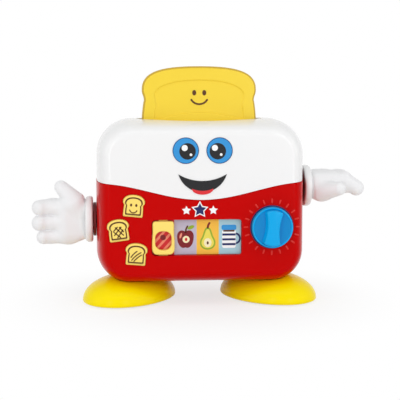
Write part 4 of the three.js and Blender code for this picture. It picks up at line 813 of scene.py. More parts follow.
@dataclass(frozen=True)
class Bread:
    """The outline of a slice of bread, in shares of its half width and of its height."""

    waist: float = 0.56
    notch: float = 0.713
    lobe: float = 0.8
    body: float = 1.0

    def outline(self, width: float, height: float, x: float, base: float, rise: float = 0.0,
                steps: int = 14) -> Ring:
        """Draw the slice.

        Args:
            width: Its whole width.
            height: Its whole height.
            x: Its middle.
            base: The z of its base.
            rise: How far the base is arched up.
            steps: Steps to each curve.

        Returns:
            The outline.
        """
        half = width / 2
        foot = half * self.body
        corner = 0.0 if rise else width * 0.07
        shoulder, crown = (self.notch + self.lobe) / 2, (1 + 2 * self.lobe) / 3

        def at(across: float, up: float) -> Pair:
            """Place a point by its shares."""
            return x + across * half, base + up * height

        path = Outline(x - foot + corner, base, steps)
        if rise:
            path.curve((x, base + 2 * rise), (x + foot, base))
        else:
            path.line(x + foot - corner, base).curve((x + foot, base), (x + foot, base + corner))
        low, dent = 0.995 * self.body, 0.955 * self.body
        path.line(*at(low, self.waist)).curve(at(low * 0.98, self.notch - 0.03), at(dent, self.notch))
        path.curve(at(dent * 1.01, shoulder), at(0.99, shoulder), at(0.993, self.lobe))
        path.curve(at(0.997, crown + 0.1), at(0.6, 1), at(0, 1))
        path.curve(at(-0.6, 1), at(-0.997, crown + 0.1), at(-0.993, self.lobe))
        path.curve(at(-0.99, shoulder), at(-dent * 1.01, shoulder), at(-dent, self.notch))
        path.curve(at(-low * 0.98, self.notch - 0.03), at(-low, self.waist))
        if not rise:
            path.line(x - foot, base + corner).curve((x - foot, base), (x - foot + corner, base))
        return path.closed()


class Bench:
    """Where shapes become pieces of the toaster."""

    count = 0

    @classmethod
    def place(cls, shape: Shape, name: str, body: str, paints: Sequence[Paint],
              replaces: Sequence[str] = (), crease: float = 38.0) -> Thing:
        """Make a piece of a shape, dress it and let it ride on its body.

        Args:
            shape: The piece's surface in millimetres.
            name: The piece's name.
            body: The body that it moves with.
            paints: The finishes that the shape's paint numbers name.
            replaces: The nodes that it stands for.
            crease: Edges sharper than this many degrees stay sharp.

        Returns:
            The piece.
        """
        mesh = bpy.data.meshes.new(name)
        points = (shape.points + np.array([0, MIDDLE_Y, 0])) * MILLIMETRE
        mesh.from_pydata(points.tolist(), [], shape.faces)
        for paint in paints:
            mesh.materials.append(paint.material())
        mesh.polygons.foreach_set("material_index", shape.inks)
        mesh.shade_smooth()
        mesh.set_sharp_from_angle(angle=math.radians(crease))
        piece = linked(name, mesh)
        piece.modifiers.new("even", "WEIGHTED_NORMAL").keep_sharp = True
        cls.settle(piece)
        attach(piece, body)
        if replaces:
            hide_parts(*replaces)
        cls.count += 1
        LOG.info("%s: %d faces on %s", piece.name, len(piece.data.polygons), body)
        return piece

    @staticmethod
    def settle(piece: Thing) -> None:
        """Turn a piece's modifiers into its plain mesh.

        Args:
            piece: The piece.
        """
        graph = bpy.context.evaluated_depsgraph_get()
        mesh = bpy.data.meshes.new_from_object(piece.evaluated_get(graph), depsgraph=graph)
        piece.modifiers.clear()
        old, piece.data = piece.data, mesh
        bpy.data.meshes.remove(old)
        mesh.name = piece.name

    @staticmethod
    def coat(paint: Paint, *nodes: str) -> None:
        """Give carried-over nodes a finish.

        Args:
            paint: The finish.
            *nodes: The nodes' names.
        """
        for node in nodes:
            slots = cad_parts[node].data.materials
            slots.clear()
            slots.append(paint.material())


class Pattern:
    """Geometry node trees for what repeats, and the call that grows one into a shape."""

    @staticmethod
    def start(name: str, **sockets: str) -> tuple[Graph, Any]:
        """Begin a tree with its inputs.

        Args:
            name: The tree's name.
            **sockets: The kind of each input of its own.

        Returns:
            The graph, and what its inputs put out.
        """
        tree = bpy.data.node_groups.new(name, "GeometryNodeTree")
        tree.interface.new_socket("Geometry", in_out="OUTPUT", socket_type="NodeSocketGeometry")
        for label, kind in {"Geometry": "Geometry", "Material": "Material", **sockets}.items():
            tree.interface.new_socket(label, in_out="INPUT", socket_type=f"NodeSocket{kind}")
        graph = Graph(tree)
        return graph, graph.node("NodeGroupInput").outputs

    @staticmethod
    def end(graph: Graph, given: Any, **spread: Socket) -> Tree:
        """End a tree: an item on each point, made real, and the material set.

        Args:
            graph: The tree so far.
            given: What its inputs put out.
            **spread: The Points, the Instance on each and its Rotation.

        Returns:
            The whole tree.
        """
        spread_out = graph.node("GeometryNodeInstanceOnPoints", **spread).outputs[0]
        real = graph.node("GeometryNodeRealizeInstances", Geometry=spread_out).outputs[0]
        dressed = graph.node("GeometryNodeSetMaterial", Geometry=real, Material=given["Material"])
        graph.node("NodeGroupOutput", Geometry=dressed.outputs["Geometry"])
        return graph.tree

    @staticmethod
    def ridge(graph: Graph, given: Any) -> Socket:
        """Draw one ridge along X: a bar that thins to round ends.

        Args:
            graph: The tree so far.
            given: What its inputs put out, Length and Thickness among them.

        Returns:
            The ridge's mesh.
        """
        half = graph.math("MULTIPLY", given["Length"], 0.5)
        ends = [graph.node("ShaderNodeCombineXYZ", X=value).outputs[0]
                for value in (graph.math("MULTIPLY", half, -1.0), half)]
        line = graph.node("GeometryNodeCurvePrimitiveLine", Start=ends[0], End=ends[1])
        fine = graph.node("GeometryNodeResampleCurve", Curve=line.outputs[0], Count=13)
        share = graph.node("GeometryNodeSplineParameter").outputs[0]
        along = graph.math("SUBTRACT", graph.math("MULTIPLY", share, 2.0), 1.0)
        fall = graph.math("POWER", graph.math("ABSOLUTE", along, 0.0), 6.0)
        scale = graph.math("MAXIMUM", graph.math("SQRT", graph.math("SUBTRACT", 1.0, fall), 0.0), 0.12)
        section = graph.node("GeometryNodeCurvePrimitiveCircle", Resolution=10, Radius=given["Thickness"])
        bar = graph.node("GeometryNodeCurveToMesh", Curve=fine.outputs[0], Profile_Curve=section.outputs[0],
                         Scale=scale, Fill_Caps=True)
        return bar.outputs["Mesh"]

    @classmethod
    @cache
    def ring(cls) -> Tree:
        """Build the tree for ridges that stand round a circle, each along its radius.

        Returns:
            The tree.
        """
        graph, given = cls.start("ridge_ring", Count="Int", Radius="Float", Length="Float", Thickness="Float")
        circle = graph.node("GeometryNodeMeshCircle", Vertices=given["Count"], Radius=given["Radius"])
        way = graph.node("FunctionNodeAlignRotationToVector", {"axis": "X", "pivot_axis": "Z"},
                         Vector=graph.node("GeometryNodeInputPosition").outputs[0])
        return cls.end(graph, given, Points=circle.outputs[0], Instance=cls.ridge(graph, given),
                       Rotation=way.outputs[0])

    @classmethod
    @cache
    def row(cls) -> Tree:
        """Build the tree for ridges side by side, each along X, stepped up by Y.

        Returns:
            The tree.
        """
        graph, given = cls.start("ridge_row", Count="Int", Pitch="Float", Length="Float", Thickness="Float")
        step = graph.node("ShaderNodeCombineXYZ", Y=given["Pitch"])
        back = graph.math("MULTIPLY", graph.math("SUBTRACT", given["Count"], 1.0), -0.5)
        first = graph.node("ShaderNodeCombineXYZ", Y=graph.math("MULTIPLY", back, given["Pitch"]))
        line = graph.node("GeometryNodeMeshLine", Count=given["Count"], Start_Location=first.outputs[0],
                          Offset=step.outputs[0])
        return cls.end(graph, given, Points=line.outputs[0], Instance=cls.ridge(graph, given))

    @classmethod
    @cache
    def fasteners(cls) -> Tree:
        """Build the tree that puts one fastener at each point, each turned as it was left.

        Returns:
            The tree.
        """
        graph, given = cls.start("fastener_set", Fastener="Object", Seed="Int")
        item = graph.node("GeometryNodeObjectInfo", Object=given["Fastener"])
        chance = graph.node("FunctionNodeRandomValue", {"data_type": "FLOAT"}, Seed=given["Seed"])
        turn = graph.node("FunctionNodeAxisAngleToRotation", Axis=(0, 1, 0),
                          Angle=graph.math("MULTIPLY", chance.outputs[1], 2 * math.pi))
        return cls.end(graph, given, Points=given["Geometry"], Instance=item.outputs["Geometry"],
                       Rotation=turn.outputs[0])

    @staticmethod
    def grow(tree: Tree, paint: Paint, points: Sequence[Point] = ((0, 0, 0),),
             **values: Any) -> Shape:
        """Grow a tree into a plain shape.

        Args:
            tree: The geometry node tree.
            paint: The finish that the tree sets.
            points: The points that the tree starts from.
            **values: The tree's inputs by name.

        Returns:
            The shape, in millimetres.
        """
        mesh = bpy.data.meshes.new("seeds")
        mesh.from_pydata(list(points), [], [])
        made = linked("seeds", mesh)
        modifier = made.modifiers.new("grow", "NODES")
        modifier.node_group = tree
        values["Material"] = paint.material()
        for item in tree.interface.items_tree:
            if item.item_type == "SOCKET" and item.in_out == "INPUT" and item.name in values:
                modifier[item.identifier] = values[item.name]
        return Shape.from_object(made)


@dataclass
class Casing:
    """The four shells: a rounded box, white above a wavy seam and red below it."""

    width: float = 189.6
    height: float = 149.4
    floor: float = 18.6
    half_depth: float = 44.0
    corner: float = 30.5
    upper_trim: float = 0.5
    upper_corner: float = 32.0
    edge: float = 14.0
    power: float = 2.4
    wall: float = 2.4
    step: float = 0.7
    seam_side: float = 112.6
    seam_dip: float = 15.2
    gap: float = 0.3
    softening: float = 0.35
    over: float = 1.0
    lip: float = 0.9
    lip_reach: float = 2.0
    lip_skin: float = 0.05
    lip_room: float = 2.0
    slot_length: float = 57.0
    slot_end: float = 9.2
    slot_middle: float = 24.0
    slot_top: float = 175.0
    side_depth: float = 8.0
    shaft_radius: float = 4.4
    shaft_z: float = 75.4
    lane_z: float = 88.9
    lane_width: float = 8.8
    lane_height: float = 40.8
    corner_steps: int = 20
    edge_steps: int = 18
    seam_steps: int = 97

    def ring(self, shrink: float, y: float, above: bool = False) -> Ring:
        """Give one cross ring of the rounded box.

        Args:
            shrink: How far the ring moves in.
            y: Its depth.
            above: The white shells' form, which is a little narrower.

        Returns:
            The ring.
        """
        trim, corner = (self.upper_trim, self.upper_corner) if above else (-self.step, self.corner)
        outline = rounded_box(0, self.floor + self.height / 2, self.width - 2 * (shrink + trim),
                              self.height - 2 * shrink, corner - shrink, self.corner_steps)
        return at_depth(outline, y)

    def solid(self, shrink: float, above: bool = False) -> Shape:
        """Give the whole rounded box, shrunk on every side.

        Args:
            shrink: How far each face moves in.
            above: The white shells' form, which is a little narrower.

        Returns:
            The solid form.
        """
        share = 2 / self.power
        half = []
        for angle in np.radians(np.linspace(0, 90, self.edge_steps)):
            depth = (self.half_depth - shrink) * math.sin(angle) ** share
            turn = (self.edge - shrink) * (1 - abs(math.cos(angle)) ** share)
            half.append((shrink + turn, depth))
        rings = [self.ring(inward, -depth, above) for inward, depth in reversed(half)]
        rings += [self.ring(inward, depth, above) for inward, depth in half[1:]]
        return loft(rings)

    def seam(self, x: float) -> float:
        """Give the seam's height at a place across the front."""
        share = min(abs(x) / (self.width / 2), 1)
        return self.seam_side - self.seam_dip * (1 + math.cos(math.pi * share)) / 2

    def zone(self, above: bool, front: float, back: float) -> Shape:
        """Give all the space above or below the seam, between two depths.

        Args:
            above: The space above the seam, rather than below it.
            front: The nearer depth.
            back: The farther depth.

        Returns:
            The solid space.
        """
        reach = self.width / 2 + self.over
        shift = self.gap / 2 if above else -self.gap / 2
        far = self.floor + self.height + self.over if above else self.floor - self.over
        outline = Outline(-reach, far)
        for x in np.linspace(-reach, reach, self.seam_steps):
            outline.line(x, self.seam(x) + shift)
        outline.line(reach, far)
        return plate(outline.closed(), front, back)

    def slot(self, grow: float) -> Shape:
        """Give the toast slot's bulged form, seen from above.

        Args:
            grow: How far each side moves out.

        Returns:
            The solid form, through the casing's top.
        """
        low = self.floor + self.height - self.edge
        size = (self.slot_length + grow, self.slot_end + grow, self.slot_middle + grow)
        return loft([slot_ring(*size, z) for z in (low, self.slot_top)])

    def side_cuts(self) -> list[Shape]:
        """Make the cuts through the sides.

        Returns:
            The hole for the left shaft and the slot for the lever.
        """
        inside, outside = self.width / 2 - self.side_depth, self.width / 2 + self.over
        hole = [(self.shaft_radius, -outside), (self.shaft_radius, -inside)]
        lane = rounded_box(0, self.lane_z, self.lane_width, self.lane_height, self.lane_width / 2 - 0.01)
        points = [np.stack([np.full(len(lane), x), lane[:, 0], lane[:, 1]], 1) for x in (inside, outside)]
        return [turned(hole, "X", (0, 0, self.shaft_z), 32), loft(points)]

    def shell(self, above: bool, rear: bool, cuts: list[Shape]) -> Shape:
        """Make one of the four shells.

        Args:
            above: A white upper shell, rather than a red lower one.
            rear: A rear shell.
            cuts: The holes through it.

        Returns:
            The shell.
        """
        shrink = 0.0 if above else self.step
        near, deep = self.gap / 2, self.half_depth + self.over
        zone = self.zone(above, near, deep) if rear else self.zone(above, -deep, -near)
        outer = self.solid(shrink, above).cut(zone, operation="INTERSECT")
        return outer.cut(self.solid(shrink + self.wall, above)).cut(*cuts).softened(self.softening)

    def seam_lip(self, above: bool) -> Shape:
        """Make the lip inside the walls that covers the gap between the front and rear shells.

        Args:
            above: The white shells' lip, rather than the red ones'.

        Returns:
            The lip.
        """
        skin = self.wall + self.lip_skin + (0.0 if above else self.step)
        zone = self.zone(above, -self.lip_reach, self.lip_reach)
        band = self.solid(skin, above).cut(zone, operation="INTERSECT")
        return band.cut(self.solid(skin + self.lip, above)).cut(*self.side_cuts(), self.slot(self.lip_room))

    def build(self, holes: dict[str, list[Shape]]) -> None:
        """Make the four shells and their two lips.

        Args:
            holes: The cuts for each node.
        """
        for node, above, rear in (("front_upper_shell", True, False), ("front_lower_shell", False, False),
                                  ("rear_upper_shell", True, True), ("rear_lower_shell", False, True)):
            cuts = holes.get(node, []) + self.side_cuts()
            if above:
                cuts.append(self.slot(0))
            paint = Paint.WHITE if above else Paint.RED
            name = node.replace("shell", "cover")
            Bench.place(self.shell(above, rear, cuts), name, "casing", [paint], [node])
        for name, above, paint in (("upper_seam_lip", True, Paint.WHITE),
                                   ("lower_seam_lip", False, Paint.RED)):
            Bench.place(self.seam_lip(above), name, "casing", [paint])


def slot_ring(half_length: float, end: float, middle: float, z: float, steps: int = 44) -> Ring:
    """Give the points of the bulged slot at a height.

    Args:
        half_length: Half of its length.
        end: Half of its width at the ends.
        middle: Half of its width in the middle.
        z: The height.
        steps: Steps along each side.

    Returns:
        The ring.
    """
    points = []
    for side in (-1, 1):
        for share in np.linspace(-1, 1, steps + 1) * side:
            points.append((-share * half_length, side * (end + (middle - end) * (1 - share * share)), z))
    return np.array(points)


@dataclass
class Back:
    """The casing's back: the speaker's slots, the sunk screws, the battery door and the power switch."""

    head_radius: float = 3.2
    head_height: float = 2.0
    well_radius: float = 3.6
    tube_radius: float = 4.8
    tube_floor: float = 1.2
    bore: float = 1.9
    slots: int = 7
    slot_pitch: float = 5.0
    slot_width: float = 2.4
    slot_reach: float = 17.0
    outside: float = 47.0
    clearance: float = 0.4
    tilt_seed: int = 11
    inside: float = 38.0
    stem: float = 6.0
    switch_travel: float = 4.0
    red_skin: float = 1.2
    white_skin: float = 0.5
    screw_length: float = 26.0
    shank: float = 1.5
    cross: float = 4.0
    cross_width: float = 0.85
    cross_depth: float = 1.1
    door_corner: float = 3.0
    door_rim: float = 0.6
    door_well: float = 1.5
    grip_inset: float = 14.0

    def screws(self, above: bool) -> list[Point]:
        """Find the seats of the case screws.

        Args:
            above: The white shells' screws, rather than the red ones'.

        Returns:
            The seat of each screw, under its head.
        """
        seats = []
        for number in (5, 6) if above else (1, 2, 3, 4):
            x, z = self.front_of(f"case_screw_{number}")[:2]
            seats.append((x, box_of(f"case_screw_{number}")[1][1] - self.head_height, z))
        return seats

    def wells(self, seats: Sequence[Point]) -> list[Shape]:
        """Give the holes that the screw heads sink into."""
        r, sunk = self.well_radius, self.clearance
        return [turned([(r, y - sunk), (r, self.outside)], "Y", (x, 0, z), 40) for x, y, z in seats]

    def tubes(self, seats: Sequence[Point], shrink: float, above: bool) -> Shape:
        """Make the bosses round the wells, trimmed inside the shell's skin.

        Args:
            seats: The seats of the screws.
            shrink: How far inside the shell's outer face the bosses end.
            above: The white shells' form, rather than the red ones'.

        Returns:
            The bosses in one shape.
        """
        room, made = Casing().solid(shrink, above), []
        for x, y, z in seats:
            seat, inner = y - self.clearance, self.well_radius + 0.05
            profile = [(inner, seat), (inner, self.outside), (self.tube_radius, self.outside),
                       (self.tube_radius, seat - self.tube_floor), (self.bore, seat - self.tube_floor),
                       (self.bore, seat)]
            tube = turned(profile, "Y", (x, 0, z), 40, looped=True)
            made.append(tube.cut(room, operation="INTERSECT"))
        return Shape.together(made)

    def upper_cuts(self) -> list[Shape]:
        """Make the cuts through the white rear shell.

        Returns:
            The screws' wells and the speaker's slots.
        """
        z = self.front_of("speaker")[1]
        cuts = self.wells(self.screws(True))
        for number in range(self.slots):
            x = (number - (self.slots - 1) / 2) * self.slot_pitch
            tall = 2 * math.sqrt(self.slot_reach ** 2 - x * x)
            ring = rounded_box(x, z, self.slot_width, tall, self.slot_width / 2 - 0.01)
            cuts.append(plate(ring, self.inside, self.outside))
        return cuts

    def lower_cuts(self) -> list[Shape]:
        """Make the cuts through the red rear shell.

        Returns:
            The screws' wells, the battery door's opening and the switch's slot.
        """
        cuts = self.wells(self.screws(False))
        x, z = self.front_of("power_slider")[:2]
        lane = (x + self.switch_travel / 2, z, self.stem + self.switch_travel, self.stem)
        for box, radius in ((self.front_of("battery_door"), self.door_corner + self.clearance), (lane, 0.6)):
            x, z, width, height = box
            ring = rounded_box(x, z, width + 2 * self.clearance, height + 2 * self.clearance, radius)
            cuts.append(plate(ring, self.inside, self.outside))
        return cuts

    @staticmethod
    def front_of(node: str) -> tuple[float, float, float, float]:
        """Give a node's middle in X and Z, its width and its height."""
        low, high = box_of(node)
        return (low[0] + high[0]) / 2, (low[2] + high[2]) / 2, high[0] - low[0], high[2] - low[2]

    def screw(self, length: float) -> Shape:
        """Make a pan-head screw along Y, its seat at zero, with a cross recess in its head.

        Args:
            length: The length below the head.

        Returns:
            The screw.
        """
        r, h = self.head_radius, self.head_height
        profile = [(0.2, h), (r * 0.45, h - 0.06), (r * 0.8, h - 0.3), (r - 0.12, h - 0.8), (r, h - 1.2),
                   (r, 0.1), (r - 0.1, 0.0), (self.shank, 0.0), (self.shank, self.shank - length),
                   (0.3, -length)]
        screw = turned(profile, "Y", (0, 0, 0), 40)
        for width, height in ((self.cross, self.cross_width), (self.cross_width, self.cross)):
            recess = rounded_box(0, 0, width, height, 0.15, 3)
            screw = screw.cut(plate(recess, h - self.cross_depth, h + 1))
        return screw

    @staticmethod
    def ribs(place: Point, paint: Paint, **sizes: float) -> Shape:
        """Grow upright ribs, side by side on the back.

        Args:
            place: Their middle.
            paint: Their finish.
            **sizes: The row's Count, Pitch, Length and Thickness.

        Returns:
            The ribs.
        """
        upright = Matrix.Translation(place) @ Matrix.Rotation(math.pi / 2, 4, "Y")
        ribs = Pattern.grow(Pattern.row(), paint, **sizes)
        return ribs.moved(upright @ Matrix.Rotation(math.pi / 2, 4, "X"))

    def build(self) -> None:
        """Make the bosses, the screws, the door and the switch's ribs, and coat the inner parts."""
        low, high = self.screws(False), self.screws(True)
        tubes = self.tubes(low, self.red_skin, False)
        Bench.place(tubes, "lower_screw_tubes", "casing", [Paint.RED])
        tubes = self.tubes(high, self.white_skin, True)
        Bench.place(tubes, "upper_screw_tubes", "casing", [Paint.WHITE])
        pattern = self.screw(self.screw_length).scratch_object()
        seats = Pattern.grow(Pattern.fasteners(), Paint.STEEL, low + high, Fastener=pattern,
                             Seed=self.tilt_seed)
        bpy.data.objects.remove(pattern)
        Bench.place(seats, "case_screws", "casing", [Paint.STEEL], [f"case_screw_{k}" for k in range(1, 7)])
        self.door()
        self.switch()
        Bench.coat(Paint.BLACK, "speaker", "battery_box")
        Bench.coat(Paint.WRAP, "battery_cell_1", "battery_cell_2", "battery_cell_3")
        Bench.coat(Paint.STEEL, "left_battery_contact", "right_battery_contact", "left_foot_screw",
                   "right_foot_screw", "left_return_spring", "right_return_spring")
        Bench.coat(Paint.RUBBER, "button_membrane")
        Bench.coat(Paint.WIRE, "battery_wire", "speaker_wire")

    def door(self) -> None:
        """Make the battery door with its ridged thumb pad and its screw."""
        x, z, width, height = self.front_of("battery_door")
        front, back = box_of("battery_door")[0][1], box_of("battery_door")[1][1]
        low, high = box_of("battery_door_screw")
        screw_x, seat, sunk = (low[0] + high[0]) / 2, high[1] - self.head_height, back - self.door_well
        panel = plate(rounded_box(x, z, width, height, self.door_corner), front, back, 0.0, self.door_rim)
        profile = [(self.bore, front - 1), (self.bore, sunk), (self.well_radius, sunk),
                   (self.well_radius, self.outside)]
        panel = panel.cut(turned(profile, "Y", (screw_x, 0, z), 40))
        Bench.place(panel, "battery_hatch", "casing", [Paint.RED], ["battery_door"])
        ribs = self.ribs((x - width / 2 + self.grip_inset, back - 0.05, z), Paint.RED, Count=9, Pitch=2.4,
                         Length=22.0, Thickness=0.6)
        Bench.place(ribs, "battery_hatch_grip", "casing", [Paint.RED], crease=60)
        screw = self.screw(seat - low[1]).moved(Matrix.Translation((screw_x, seat, z)))
        Bench.place(screw, "battery_hatch_screw", "casing", [Paint.STEEL], ["battery_door_screw"])

    def switch(self) -> None:
        """Finish the power switch: its stem and flange in black, with ribs on the stem's end."""
        Bench.coat(Paint.BLACK, "power_slider")
        x, z = self.front_of("power_slider")[:2]
        ribs = self.ribs((x, box_of("power_slider")[1][1], z), Paint.BLACK, Count=4, Pitch=1.35,
                         Length=self.stem - 0.8, Thickness=0.4)
        Bench.place(ribs, "power_switch_ribs", "power_switch", [Paint.BLACK], crease=60)


@dataclass
class ToastLift:
    """The slice of toast, the well that it drops into, and the springs below it."""

    width: float = 105.5
    height: float = 107.2
    top: float = 215.5
    half_thick: float = 6.0
    panel_width: float = 82.4
    panel_height: float = 37.0
    panel_drop: float = 12.5
    panel_rise: float = 7.3
    panel_depth: float = 1.0
    rays: int = 260
    rim_shade_bands: int = 7
    eye_x: float = 4.6
    eye_z: float = 191.4
    mouth_z: float = 188.6
    well_length: float = 54.0
    well_depth: float = 7.0
    well_wall: float = 1.8
    well_floor: float = 47.0
    mouth: Point = (56.9, 9.1, 23.9)
    flare_start: float = 159.0
    flare_height: float = 4.6
    flare_bend: float = 0.8
    inner_start: float = 160.5
    inner_height: float = 4.2
    rim_sunk: float = 0.3
    lip_drop: float = 0.25

    def slice(self) -> Shape:
        """Make the toast with its rounded rim and a sunk panel on each face.

        Returns:
            The toast, with the second paint, a darker yellow that paints shade, on its rounded rim.
        """
        base = self.top - self.height
        panel_base = self.top - self.panel_drop - self.panel_height
        centre = (0.0, panel_base + self.panel_height * 0.5)
        edge = by_angle(Bread().outline(self.width, self.height, 0, base), centre, self.rays)
        shares = Bread(waist=0.12, notch=0.36, lobe=0.62)
        panel = by_angle(shares.outline(self.panel_width, self.panel_height, 0, panel_base, self.panel_rise),
                         centre, self.rays)
        face, floor = self.half_thick, self.half_thick - self.panel_depth
        steps = [(panel, 0.2, floor + 0.15), (panel, -0.1, face - 0.35), (panel, -0.45, face - 0.08),
                 (panel, -0.9, face), (edge, 2.6, face), (edge, 1.7, face - 0.2), (edge, 0.8, face - 0.75),
                 (edge, 0.2, face - 1.7), (edge, 0.0, face - 2.8)]
        middle = np.array([centre[0], -floor, centre[1]])
        front = [middle + (at_depth(panel, -floor) - middle) * share
                 for share in (0.01, 0.3, 0.65, 0.9, 0.96, 0.984)]
        front += [at_depth(inset(ring, inward), -depth) for ring, inward, depth in steps]
        back = [ring * (1, -1, 1) for ring in reversed(front)]
        # The bands round the rim take the darker yellow as painted shade.
        plain = [0] * (len(front) - (self.rim_shade_bands + 1) // 2)
        return loft(front + back, inks=[*plain, *[1] * self.rim_shade_bands, *plain])

    def smile(self) -> list[Shape]:
        """Draw the slice's plain smile.

        Returns:
            Two dots and an arc, on the sunk panel's floor.
        """
        floor = self.panel_depth - self.half_thick
        arc = [(8.2 * math.cos(a), self.mouth_z + 7.6 * math.sin(a))
               for a in np.radians(np.linspace(208, 332, 22))]
        rings = [*[disc(x, self.eye_z, 3.6, 5.0) for x in (-self.eye_x, self.eye_x)], stroke(arc, 1.7)]
        return [plate(ring, floor - 0.25, floor + 0.1, 0.15) for ring in rings]

    def flare(self, tube: Sequence[float], mouth: Sequence[float], share: float, z: float) -> Ring:
        """Give a ring of the well, a share of the way from its tube to its mouth."""
        return slot_ring(*[a + (b - a) * share ** self.flare_bend for a, b in zip(tube, mouth)], z)

    def well(self) -> Shape:
        """Make the well: a flat tube that flares into the bulged mouth of the slot.

        Returns:
            The well, open above and below.
        """
        inner = (self.well_length, self.well_depth, self.well_depth)
        outer = [size + self.well_wall for size in inner]
        lip = [size - self.well_wall for size in self.mouth]
        rings = [slot_ring(*outer, self.well_floor), slot_ring(*outer, self.flare_start)]
        for share in np.linspace(0, 1, 7)[1:]:
            rings.append(self.flare(outer, self.mouth, share, self.flare_start + self.flare_height * share))
        rings += [self.rim(*self.mouth, 0.0), self.rim(*lip, self.lip_drop)]
        for share in np.linspace(1, 0, 7):
            rings.append(self.flare(inner, lip, share, self.inner_start + self.inner_height * share))
        rings.append(slot_ring(*inner, self.well_floor))
        return loft(rings, looped=True)

    def rim(self, length: float, end: float, middle: float, drop: float) -> Ring:
        """Give a ring on the casing's top, which follows the rounded shoulder.

        Args:
            length: Half of the ring's length.
            end: Half of its width at the ends.
            middle: Half of its width in the middle.
            drop: How far lower it lies.

        Returns:
            The ring.
        """
        ring = slot_ring(length, end, middle, 0)
        casing, sunk = Casing(), self.rim_sunk
        share = 2 / casing.power
        for point in ring:
            sine = min(abs(point[1]) / (casing.half_depth - sunk), 1) ** (1 / share)
            cosine = math.sqrt(max(1 - sine * sine, 0))
            turn = (casing.edge - sunk) * (1 - cosine ** share)
            point[2] = casing.floor + casing.height - sunk - turn - drop
        return ring

    def build(self) -> None:
        """Make the toast, its smile and the well, and coat the carriage and its rods."""
        Bench.place(self.slice(), "toast_slice_body", "toast_lift", [Paint.TOAST, Paint.CRUST],
                    ["toast_slice"], crease=60)
        for name, shape in zip(("toast_left_eye", "toast_right_eye", "toast_smile"), self.smile()):
            Bench.place(shape, name, "toast_lift", [Paint.INK_BROWN])
        Bench.place(self.well(), "toast_funnel", "casing", [Paint.WHITE], ["toast_well"])
        Bench.coat(Paint.GREY, "toast_carriage", "lever_shaft", "left_arm_shaft")
        Bench.coat(Paint.STEEL, "left_guide_rod", "right_guide_rod")


